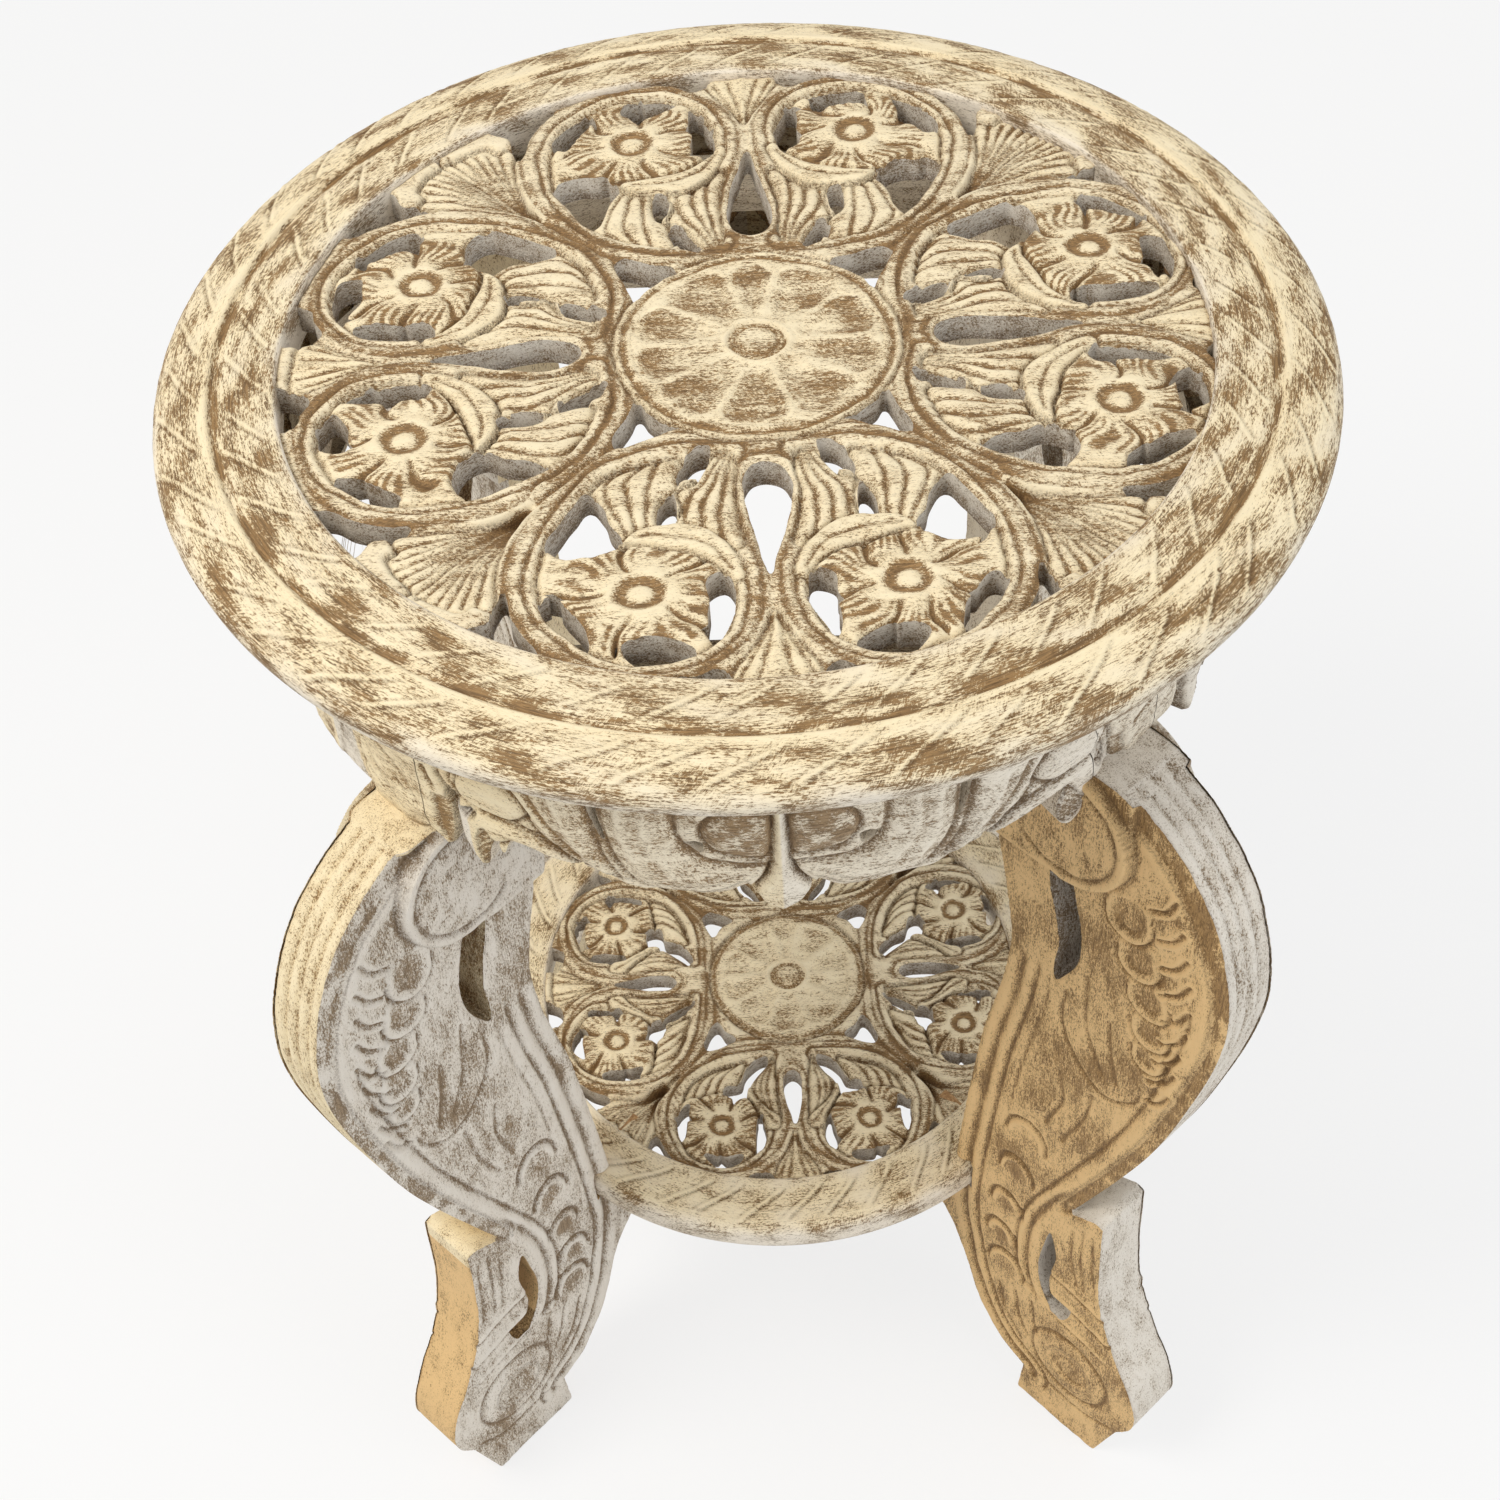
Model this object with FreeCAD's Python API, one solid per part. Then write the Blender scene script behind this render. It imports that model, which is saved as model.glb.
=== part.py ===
import FreeCAD, Part
import math
import os

os.makedirs("parts", exist_ok=True)
V = FreeCAD.Vector
UP = V(0, 0, 1)

# overall sizes in mm
height = 515.0
rim_out = 200.0
rim_in = 157.5
rim_deep = 18.0
panel_thick = 11.5
panel_top = height - 3.0
rim_under = height - rim_deep

# plan positions of the carved patterns
top_shift = 4.9
top_turn = 1.55
shelf_shift = 3.9
shelf_turn = 1.3

# shelf
shelf_top = 149.0
shelf_thick = 16.0
shelf_out = 130.0
shelf_in = 105.0
shelf_panel = 10.5

# legs: compass angle and how much the upper part is drawn upwards
leg_thick = 27.0
head_thick = 38.0
front_thick = 30.0
head_front = 175.0
head_step = 158.0
legs = {
    "leg_front_left": (-133.3, 0.0),
    "leg_front_right": (-46.7, 18.0),
    "leg_back_right": (46.7, 9.0),
    "leg_back_left": (133.3, 9.0),
}

# aprons: compass angles of the two ends and of the carved middle, and the length of the carving on
# each side of it along the curve
apron_out = 174.0
apron_in = 160.0
aprons = {
    "apron_front": (-133.3, -87.5, -46.7, 119.0, 123.0),
    "apron_right": (-46.7, 0.0, 46.7, 112.0, 121.0),
    "apron_back": (46.7, 90.0, 133.3, 111.0, 111.0),
    "apron_left": (133.3, 180.0, 226.7, 121.0, 121.0),
}

# carving of the legs: depths of the border bands, lines, scales and flutes
band_deep = 1.6
line_deep = 1.5
scale_deep = 1.1
flute_deep = 1.4
flute_wide = 2.4

# joinery
dowel_r = 3.0
dowel_long = 24.0
block_low = 425.0
block_high = 468.0


def curve(points):
    spline = Part.BSplineCurve()
    spline.interpolate(Points=points)
    return spline.toShape()


def loop(points):
    spline = Part.BSplineCurve()
    spline.interpolate(Points=points, PeriodicFlag=True)
    return Part.Wire([spline.toShape()])


def polygon(points):
    return Part.Wire(Part.makePolygon(points + [points[0]]))


def disc(radius, x=0.0, y=0.0, z=0.0):
    return Part.Face(Part.Wire([Part.makeCircle(radius, V(x, y, z))]))


def drum(radius, low, high):
    return Part.makeCylinder(radius, high - low, V(0, 0, low))


def turned(shape, degrees):
    copy = shape.copy()
    copy.rotate(V(0, 0, 0), UP, degrees)
    return copy


def save(name, solids):
    shape = solids[0] if len(solids) == 1 else Part.makeCompound(solids)
    shape.exportStep("parts/" + name + ".step")
    total = sum(s.Volume for s in solids) / 1000.0
    print(name, len(solids), "solids", round(total, 1), "cm3", shape.isValid())


# openings of the fretwork, as (sideways, outwards) from the middle of one heart
top_gaps = {
    "stem": [(57, 70), (52.5, 76), (51, 84), (47.5, 91), (52, 98), (60, 100.5), (67, 98),
             (70, 93), (67, 86), (62, 77)],
    "leaf": [(18, 52), (23, 53), (27, 60), (28, 66.5), (24, 66), (20.5, 60.5)],
    "vein": [(30.5, 73), (33.5, 77), (34, 86), (29.8, 85.5), (29.3, 79)],
    "petal_out": [(67, 117), (71, 119), (69, 126), (64, 133), (57.5, 139), (58.5, 131), (62.5, 124)],
    "petal_in": [(19.5, 113), (13.5, 110.5), (11.8, 118), (13.5, 128), (18.5, 138), (20, 130), (19, 121)],
    "petal_far": [(45, 138), (43, 144.5), (33, 145.7), (25, 143), (30, 138.5), (36, 136.5)],
    "rim_by_tip": [(30, 154.4), (24, 153.4), (18, 150.5), (13.5, 155), (13, 163), (32, 163)],
    "rim_by_fan": [(82.5, 113), (85.5, 119), (87, 126), (95, 131), (90, 141), (74, 150), (72.5, 140),
                   (77, 132.5), (80.5, 124)],
}
top_drop = [(0, 60), (4.5, 62), (7, 67), (7.5, 74), (6, 83), (4, 93), (1.8, 102), (0, 110),
            (-1.8, 102), (-4, 93), (-6, 83), (-7.5, 74), (-7, 67), (-4.5, 62)]
top_corner = [(41.5, 27.5), (38.5, 32.5), (32.5, 38.5), (27.5, 41.5), (36, 44.5), (45.5, 48.5),
              (48.5, 45.5), (44.5, 36)]
shelf_gaps = {
    "stem": [(11, 43), (15, 44), (20, 49), (22.5, 55), (29, 57), (29.5, 61.5), (22, 62.5), (19.5, 56),
             (15, 50)],
    "petal_out": [(45, 66), (48.5, 68), (50, 75), (48.5, 82), (47, 80), (46.3, 73)],
    "petal_in": [(15, 73), (13.3, 80), (14, 88), (16, 89), (16.8, 84), (16, 78)],
    "petal_far": [(39, 91), (33, 96), (25, 94.5), (24, 92), (31, 92.3)],
    "rim_by_tip": [(20, 102.2), (13, 102), (9.8, 105), (9.5, 112), (22, 110)],
    "rim_by_fan": [(60, 80), (63.5, 85), (66, 92), (51, 100), (52.5, 93.5), (56.5, 87)],
}
shelf_drop = [(0, 50.5), (3, 53), (3.6, 58), (3, 65), (1.5, 72), (0, 77), (-1.5, 72), (-3, 65),
              (-3.6, 58), (-3, 53)]
shelf_corner = [(24.5, 33), (29, 29), (33, 24.5), (37.5, 34), (34, 37.5)]


def fretwork(radius, low, high, gaps, drop, corner, shift, turn):
    """A round panel pierced with four hearts of scrolls round a rosette."""
    cuts = []
    for quarter in range(4):
        heading = math.radians(-90 + 90 * quarter + turn)
        out = V(math.cos(heading), math.sin(heading), 0)
        side = V(-math.sin(heading), math.cos(heading), 0)
        middle = V(shift, 0, low)

        def placed(points, mirror=1):
            return [middle + side * (mirror * a) + out * b for a, b in points]

        cuts.append(Part.Face(loop(placed(drop))))
        cuts.append(Part.Face(loop(placed(corner))))
        for points in gaps.values():
            cuts.append(Part.Face(loop(placed(points))))
            cuts.append(Part.Face(loop(placed(points, -1))))
    face = disc(radius, 0, 0, low).cut(Part.makeCompound(cuts))
    solid = face.extrude(V(0, 0, high - low))
    return max(solid.Solids, key=lambda s: s.Volume)


def ring(outer_points, inner, low, high):
    """A turned ring from a half section given as radius and height."""
    edges = []
    p = [V(r, 0, z) for r, z in outer_points]
    edges.append(Part.makeLine(V(inner, 0, low), p[0]))
    edges.append(curve(p))
    edges.append(Part.makeLine(p[-1], V(inner, 0, high)))
    edges.append(Part.makeLine(V(inner, 0, high), V(inner, 0, low)))
    return Part.Face(Part.Wire(edges)).revolve(V(0, 0, 0), UP, 360)


def band(line, near, far):
    """The face between two copies of a line, moved into the leg by near and by far."""
    sides = []
    for gap in (near, far):
        moved = []
        for i, q in enumerate(line):
            way = line[min(i + 1, len(line) - 1)] - line[max(i - 1, 0)]
            way.normalize()
            moved.append(q + V(way.z, 0, -way.x) * (gap[i] if isinstance(gap, list) else gap))
        sides.append(moved)
    one, two = sides
    edges = [curve(one), Part.makeLine(one[-1], two[-1]), curve(two), Part.makeLine(two[0], one[0])]
    return Part.Face(Part.Wire(Part.__sortEdges__(edges)))


def leg_profile(lift):
    """Side view of a leg: radius from the table's axis, depth under the top surface."""
    def p(r, d):
        share = min(1.0, max(0.0, (460.0 - d) / 310.0))
        up = lift * share if d > 30 else 0.0
        return V(r, 0, height - d + up)

    knee = [(head_front, 95), (183, 94.7), (192, 98), (205, 106), (216, 117), (226, 133),
            (233, 153), (236, 175), (234, 197), (228, 224), (218, 260), (207, 290), (189, 331),
            (181, 348)]
    toe = [(198, 341.5), (198.5, 365), (200, 388), (205, 410), (214, 430), (222, 445), (226, 460),
           (224.5, 471), (218, 482)]
    sole = [(165, 492), (152, 484.5), (140, 470), (133, 455), (127, 438), (119, 422), (110, 411)]
    back = [(121, 366), (123, 345), (127, 310), (132, 272), (139, 238), (142.5, 212), (141, 192),
            (137, 172), (132.5, 150), (131, 125), (132, 100), (137, 70), (144, 45), (147, 18)]
    ledge = height - shelf_top + shelf_thick
    edges = [Part.makeLine(p(147, 18), p(head_front, 18)), Part.makeLine(p(head_front, 18), p(*knee[0]))]
    edges.append(curve([p(*q) for q in knee]))
    edges.append(curve([p(*knee[-1]), p(189, 343.5), p(194, 341), p(*toe[0])]))
    edges.append(curve([p(*q) for q in toe]))
    edges.append(Part.makeLine(p(*toe[-1]), V(207.5, 0, 0)))
    edges.append(Part.makeLine(V(207.5, 0, 0), V(163, 0, 0)))
    edges.append(Part.makeLine(V(163, 0, 0), p(*sole[0])))
    edges.append(curve([p(*q) for q in sole]))
    tip = [p(*sole[-1]), V(106, 0, height - 400), V(106, 0, height - ledge), V(121, 0, height - ledge)]
    tip.append(p(*back[0]))
    for one, two in zip(tip, tip[1:]):
        edges.append(Part.makeLine(one, two))
    edges.append(curve([p(*q) for q in back]))
    outline = Part.Face(Part.Wire(edges))

    knee_slit = [(158, 151), (166, 151), (170.5, 165), (174, 182), (173, 196), (168, 207), (164, 212),
                 (163, 203), (164, 192), (162, 178), (158.5, 165)]
    foot_slit = [(173, 372), (177, 386), (175, 400), (175, 411), (181, 417), (187, 417), (185, 426),
                 (178, 428), (170.5, 415), (168, 400), (170, 385)]
    slits = [Part.Face(loop([p(*q) for q in s])) for s in (knee_slit, foot_slit)]
    body = outline.cut(Part.makeCompound(slits))

    boss = Part.Face(Part.Wire([Part.makeCircle(28, p(165, 122), V(0, 1, 0))]))
    neck = Part.Face(polygon([p(125, 18), p(head_step, 18), p(head_step, 100), p(165, 100), p(165, 150),
                              p(125, 150)]))
    head = outline.common(boss.fuse(neck))
    post = Part.Face(polygon([p(150, 18), p(head_front, 18), p(head_front, 95), p(165, 122), p(150, 122)]))
    front = outline.common(post)

    # carved lines of both sides: a sunk band and a second line by the outer edge, two lines by the
    # inner edge, scales down the knee and the scroll of the foot
    stem = [(189, 331), (181, 348), (176, 360), (171, 375), (168.5, 393), (170, 412), (177, 428)]
    inner = [(165, 492), (152, 484.5), (140, 470), (131, 450), (124, 425), (120, 400), (120, 380), (121, 366),
             (123, 345), (127, 310), (132, 272), (139, 238), (142.5, 212)]
    wide = [9, 9, 9, 9, 8.5, 8, 6.5, 5.5, 5, 5.5, 6, 6, 6, 6]
    knee_line = [p(*q) for q in knee]
    stem_line = [p(*q) for q in stem]
    inner_line = [p(*q) for q in inner]
    marks = [(band(knee_line, -0.5, wide), band_deep)]
    marks.append((band(stem_line, 6.0, 9.0), line_deep))
    marks.append((band(knee_line[7:12] + stem_line[:1] + stem_line[2:6], 12.3, 13.9), line_deep))
    marks.append((band(inner_line, 5.0, 8.5), line_deep))
    marks.append((band(inner_line, 13.0, 14.6), line_deep))
    rounds = [((190, 461), 22.0, 2.0, 0)]
    for centre, size in (((193, 154), 10.5), ((199, 171), 10.0), ((205, 188), 9.5), ((207, 204), 8.5),
                         ((208, 218), 7.5)):
        rounds.append((centre, size, 1.3, 1))
    for centre, size, width, half in rounds:
        q = p(*centre)
        rings = [Part.Face(Part.Wire([Part.makeCircle(r, q, V(0, 1, 0))])) for r in (size, size - width)]
        face = rings[0].cut(rings[1])
        if half:
            low = [q + V(-15, 0, 2), q + V(15, 0, 2), q + V(15, 0, -15), q + V(-15, 0, -15)]
            face = face.common(Part.Face(polygon(low)))
        marks.append((face, scale_deep))
    flutes = band(knee_line[2:10], -0.5, flute_deep)
    return body, head, front, marks, flutes


def leg(angle, lift):
    body, head, front, marks, flutes = leg_profile(lift)
    half = leg_thick / 2
    board, top, post = [face.extrude(V(0, thick, 0)).translated(V(0, -thick / 2, 0))
                        for face, thick in ((body, leg_thick), (head, head_thick), (front, front_thick))]
    for face, deep in marks:
        for low in (-half - 1, half - deep):
            board = board.cut(face.extrude(V(0, deep + 1, 0)).translated(V(0, low, 0)))
    for middle in (-leg_thick / 4, 0, leg_thick / 4):
        flute = flutes.extrude(V(0, flute_wide, 0))
        board = board.cut(flute.translated(V(0, middle - flute_wide / 2, 0)))
    whole = board.fuse([top, post]).removeSplitter()
    whole = whole.cut(drum(shelf_out, shelf_top - shelf_thick, shelf_top))
    return turned(max(whole.Solids, key=lambda s: s.Volume), angle)


# lower edge of an apron: share of the half width, depth under the top surface
scallop = [(0, 92), (0.05, 90), (0.09, 83), (0.16, 86.5), (0.25, 88.5), (0.33, 88.5), (0.41, 86.5),
           (0.5, 85), (0.58, 83), (0.67, 80.5), (0.78, 78), (0.8, 88), (0.86, 98.5), (0.92, 98.5),
           (0.97, 92), (1.06, 92)]


def apron(start, middle, end, left, right):
    """A curved board under the rim between two leg heads, scalloped and pierced."""
    spans = [math.degrees(length / apron_out) for length in (left, right)]
    board = drum(apron_out, height - 101, rim_under).cut(drum(apron_in, height - 102, rim_under + 1))
    far = 2 * apron_out
    corners = []
    for angle in (start - middle, (start - middle) / 2, 0, (end - middle) / 2, end - middle):
        a = math.radians(angle)
        corners.append(V(far * math.cos(a), far * math.sin(a), height - 101))
    wedge = Part.Face(polygon([V(0, 0, height - 101)] + corners)).extrude(V(0, 0, 101))
    board = board.common(wedge)

    def spot(share, depth):
        span = spans[1] if share > 0 else spans[0]
        a = math.radians(share * span)
        return V(0, apron_out * math.sin(a), height - depth)

    low = [spot(-s, d) for s, d in reversed(scallop)] + [spot(s, d) for s, d in scallop[1:]]
    low = [V(0, low[0].y - 30, low[0].z)] + low + [V(0, low[-1].y + 30, low[-1].z)]
    below = Part.Face(polygon(low + [V(0, low[-1].y, height - 140), V(0, low[0].y, height - 140)]))
    cutters = [below]
    for sign in (-1, 1):
        eye = [(0.20, 64), (0.22, 60.5), (0.26, 60.5), (0.265, 63), (0.235, 66)]
        slit = [(0.475, 66), (0.485, 48), (0.50, 36), (0.53, 36), (0.515, 50), (0.49, 62)]
        for shape in (eye, slit):
            cutters.append(Part.Face(polygon([spot(sign * s, d) for s, d in shape])))
    for face in cutters:
        board = board.cut(face.extrude(V(2 * apron_out, 0, 0)))
    board = turned(board, middle)
    return board


def upright_dowel(radius, angle, low):
    a = math.radians(angle)
    return Part.makeCylinder(dowel_r, dowel_long, V(radius * math.cos(a), radius * math.sin(a), low))


def level_dowel(start, angle, z):
    a = math.radians(angle)
    out = V(math.cos(a), math.sin(a), 0)
    return Part.makeCylinder(dowel_r, dowel_long, out * start + V(0, 0, z), out)


def pattern_angle(step, reach, shift, turn):
    a = math.radians(-90 + 45 * step + turn)
    return math.degrees(math.atan2(reach * math.sin(a), shift + reach * math.cos(a)))


def glue_block(angle, side):
    mid = height - 101
    near = head_thick / 2
    points = [V(136, near, block_low), V(168, near, block_low), V(168, 42, block_low), V(154.4, 42, block_low)]
    points = [V(q.x, q.y * side, q.z) for q in points]
    block = Part.Face(polygon(points)).extrude(V(0, 0, block_high - block_low))
    block = block.common(drum(apron_in, mid, rim_under))
    return turned(block, angle)


rim = ring([(194.5, rim_under), (198.5, rim_under + 3), (200, rim_under + 8.5), (198, rim_under + 13.5),
            (191, rim_under + 16.8), (181, height)], rim_in, rim_under, height)
groove = Part.makeTorus(179.2, 1.6, V(0, 0, height + 0.4))
rim = rim.cut(groove)
panel = fretwork(rim_in, panel_top - panel_thick, panel_top, top_gaps, top_drop, top_corner,
                 top_shift, top_turn)
shelf_rim = ring([(shelf_out - 2, shelf_top - shelf_thick), (shelf_out, shelf_top - shelf_thick + 3),
                  (shelf_out, shelf_top - 3), (shelf_out - 3, shelf_top)], shelf_in,
                 shelf_top - shelf_thick, shelf_top)
shelf_low = shelf_top - 1.5 - shelf_panel
shelf_work = fretwork(shelf_in, shelf_low, shelf_low + shelf_panel, shelf_gaps, shelf_drop, shelf_corner,
                      shelf_shift, shelf_turn)

leg_solids = {name: leg(*data) for name, data in legs.items()}
apron_solids = {}
for name, data in aprons.items():
    board = apron(*data)
    for solid in leg_solids.values():
        board = board.cut(solid)
    apron_solids[name] = max(board.Solids, key=lambda s: s.Volume)
blocks = {}
for name, (angle, lift) in legs.items():
    for side, tag in ((1, "a"), (-1, "b")):
        blocks["glue_block" + name[3:] + "_" + tag] = glue_block(angle, side)

# dowels: panels into rims, aprons and legs into the top rim, ledges into the shelf rim
dowels = []
for step in (0, 2, 4, 6):
    dowels.append(level_dowel(146, pattern_angle(step, rim_in, top_shift, top_turn), panel_top - panel_thick / 2))
for step in range(8):
    angle = pattern_angle(step, shelf_in, shelf_shift, shelf_turn)
    dowels.append(level_dowel(94, angle, shelf_low + shelf_panel / 2))
for middle in [data[1] for data in aprons.values()]:
    dowels.append(upright_dowel(167, middle - 22, rim_under - 12))
    dowels.append(upright_dowel(167, middle + 22, rim_under - 12))
for angle, lift in legs.values():
    dowels.append(upright_dowel(166, angle, rim_under - 12))
    dowels.append(upright_dowel(124, angle, shelf_top - shelf_thick - 12))
bores = Part.makeCompound(dowels)


def bored(shape):
    return max(shape.cut(bores).Solids, key=lambda s: s.Volume)


save("top_rim", [bored(rim)])
save("top_fretwork", [bored(panel)])
for name, solid in apron_solids.items():
    save(name, [bored(solid)])
for name, solid in leg_solids.items():
    save(name, [bored(solid)])
for name, solid in blocks.items():
    save(name, [solid])
save("shelf_rim", [bored(shelf_rim)])
save("shelf_fretwork", [bored(shelf_work)])
save("dowels", dowels)
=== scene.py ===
import math

import bpy
import numpy as np
from mathutils import Matrix, Vector


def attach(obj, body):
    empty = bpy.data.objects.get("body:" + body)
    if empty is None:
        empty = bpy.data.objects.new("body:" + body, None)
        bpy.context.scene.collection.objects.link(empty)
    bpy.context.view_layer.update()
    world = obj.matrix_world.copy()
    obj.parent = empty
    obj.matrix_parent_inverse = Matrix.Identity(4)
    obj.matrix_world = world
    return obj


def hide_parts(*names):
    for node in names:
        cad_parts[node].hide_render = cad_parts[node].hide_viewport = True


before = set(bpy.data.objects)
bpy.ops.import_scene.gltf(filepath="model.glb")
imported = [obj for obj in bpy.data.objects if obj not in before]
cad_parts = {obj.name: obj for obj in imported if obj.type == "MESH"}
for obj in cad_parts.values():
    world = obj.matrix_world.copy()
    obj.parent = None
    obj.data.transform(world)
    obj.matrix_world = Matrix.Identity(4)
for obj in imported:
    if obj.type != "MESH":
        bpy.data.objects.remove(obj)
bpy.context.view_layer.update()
MM = 0.001
PHOTO_WIDTH = 1500
SENSOR_WIDTH = 36

# table sizes in mm, as in the solids
TOP = 515.0
RIM_IN = 157.5
RIM_UNDER = 497.0
SHELF_TOP = 149.0
SHELF_UNDER = 133.0
SHELF_OUT = 130.0
SHELF_IN = 105.0
POST = 15.0
LEG_THICK = 27.0
APRON_IN = 160.0
LEGS = {
    "leg_front_left": (-133.3, 0.0),
    "leg_front_right": (-46.7, 18.0),
    "leg_back_right": (46.7, 9.0),
    "leg_back_left": (133.3, 9.0),
}
APRONS = {
    "apron_front": (-133.3, -87.5, -46.7, 119.0, 123.0),
    "apron_right": (-46.7, 0.0, 46.7, 112.0, 121.0),
    "apron_back": (46.7, 90.0, 133.3, 111.0, 111.0),
    "apron_left": (133.3, 180.0, 226.7, 121.0, 121.0),
}


# lines, distances and noise in a drawing plane

def pts(text):
    """Points from text such as "57,70 52.5,76"."""
    return [tuple(float(v) for v in pair.split(",")) for pair in text.split()]


def smooth(points, closed=False, per=6):
    """A Catmull-Rom line through points."""
    p = np.array(points, float)
    if closed:
        p = np.vstack([p[-1], p, p[0], p[1]])
    else:
        p = np.vstack([2 * p[0] - p[1], p, 2 * p[-1] - p[-2]])
    t = np.linspace(0, 1, per, endpoint=False)[:, None]
    rows = []
    for a, b, c, d in zip(p[:-3], p[1:-2], p[2:-1], p[3:]):
        rows.append(0.5 * (2 * b + (c - a) * t + (2 * a - 5 * b + 4 * c - d) * t ** 2
                           + (3 * b - a - 3 * c + d) * t ** 3))
    line = np.vstack(rows)
    return line if closed else np.vstack([line, p[-2]])


def resample(line, count):
    """Points at equal steps along a line."""
    step = np.r_[0, np.cumsum(np.hypot(*np.diff(line, axis=0).T))]
    at = np.linspace(0, step[-1], count)
    return np.stack([np.interp(at, step, line[:, 0]), np.interp(at, step, line[:, 1])], 1)


def between(one, two, shares, count=16):
    """Lines that lie between two lines, such as the veins of a leaf."""
    a = resample(smooth(one), count)
    b = resample(smooth(two), count)
    return [a * (1 - s) + b * s for s in shares]


def distance(a, b, line, reach, closed=False):
    """Distance to a line, up to reach. It is positive on its left, or inside it where it is closed."""
    line = np.asarray(line, float)
    if closed:
        line = np.vstack([line, line[:1]])
    low = line.min(0) - reach
    high = line.max(0) + reach
    near = (a > low[0]) & (a < high[0]) & (b > low[1]) & (b < high[1])
    pa = a[near]
    pb = b[near]
    best = np.full(pa.shape, float(reach) ** 2)
    side = np.full(pa.shape, -1.0 if closed else 1.0)
    odd = np.zeros(pa.shape, bool)
    for p, q in zip(line[:-1], line[1:]):
        e = q - p
        size = e @ e
        if size < 1e-12:
            continue
        t = np.clip(((pa - p[0]) * e[0] + (pb - p[1]) * e[1]) / size, 0, 1)
        da = pa - p[0] - t * e[0]
        db = pb - p[1] - t * e[1]
        d = da * da + db * db
        closer = d < best
        best[closer] = d[closer]
        if closed:
            if p[1] != q[1]:
                crosses = (p[1] > pb) != (q[1] > pb)
                odd ^= crosses & (pa < e[0] * (pb - p[1]) / e[1] + p[0])
        else:
            side[closer] = np.sign(e[0] * db - e[1] * da)[closer]
    if closed:
        side = np.where(odd, 1.0, -1.0)
    out = np.full(a.shape, -float(reach) if closed else float(reach))
    out[near] = side * np.sqrt(best)
    return out


def pierced(field, a, b, holes):
    """field, cut back where a hole is."""
    for hole in holes:
        field = np.minimum(field, -distance(a, b, smooth(hole, True), 9, True))
    return field


def wobble(a, b, size, seed, lap=None):
    """Slow smooth noise from -1 to 1. It repeats along a after the length lap, where one is given."""
    rng = np.random.default_rng(seed)
    out = np.zeros(np.shape(a))
    for _ in range(6):
        turn = rng.uniform(0, 2 * math.pi)
        k = 2 * math.pi / (size * rng.uniform(0.6, 1.7))
        along = k * math.cos(turn)
        if lap:
            along = 2 * math.pi / lap * round(along * lap / (2 * math.pi))
        out += np.sin(along * a + k * math.sin(turn) * b + rng.uniform(0, 6.3))
    return out / 3.5


def blurred(field, weight, radius):
    """Mean over a small window, of the cells that have weight."""
    n = max(1, int(round(radius)))
    kernel = np.hanning(2 * n + 3)[1:-1]
    kernel /= kernel.sum()
    total = field * weight
    for axis in (0, 1):
        total, weight = (np.apply_along_axis(np.convolve, axis, v, kernel, "same") for v in (total, weight))
    return total / np.maximum(weight, 1e-6)


def bell(d, width):
    """1 where d is 0, falling to nothing on both sides over about twice the width."""
    return np.exp(-(d / width) ** 2)


def ease(t):
    """A soft step from 0 at t = 0 to 1 at t = 1."""
    t = np.clip(t, 0, 1)
    return t * t * (3 - 2 * t)


# carved relief

class Relief:
    """Height, rubbing, dark stain with painted shade, and paint tone with some painted light, over a grid of
    drawing points.
    """

    def __init__(self, a, b, h, worn, dark=0.0, tint=0.0):
        self.a, self.b, self.h, self.worn = a, b, h, worn
        self.dark = dark + np.zeros(a.shape)
        self.tint = tint + np.zeros(a.shape)

    def inside(self, points, reach=12):
        return distance(self.a, self.b, smooth(points, True), reach, True)

    def beside(self, points, reach=5):
        return distance(self.a, self.b, smooth(points), reach)

    # darkens the mark dark: stain in the grooves, and painted shade in pits and other holes
    def stain_and_shade(self, amount):
        self.dark = np.maximum(self.dark, amount)

    def fill(self, on, h, worn, tint=None):
        self.h = np.where(on, h, self.h)
        self.worn = np.where(on, worn, self.worn)
        self.dark = np.where(on, 0, self.dark)
        if tint is not None:
            self.tint = np.where(on, tint, self.tint)

    def cut(self, d, depth, width, rub=0.0, wide=None, stain_and_shade=0.0, line=None, keep=1.0):
        """A groove where d is 0, rubbed over the width wide and stained over the width line."""
        self.h -= depth * bell(d, width) * keep
        self.worn += rub * bell(d, wide or width * 1.3) * keep
        self.stain_and_shade(stain_and_shade * bell(d, line or width * 0.6) * keep)

    def round_edge(self, field, depth, reach):
        self.h -= depth * (1 - np.clip(field / reach, 0, 1)) ** 2

    def rub(self, field, radius, most, share):
        """More paint shows where the relief stands out and more wood where it lies lower than its
        surroundings, so hollows come out darker.
        """
        high = self.h - blurred(self.h, (field > 0).astype(float), radius)
        self.worn -= np.clip(high, -most, most) * share


# meshes

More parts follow.
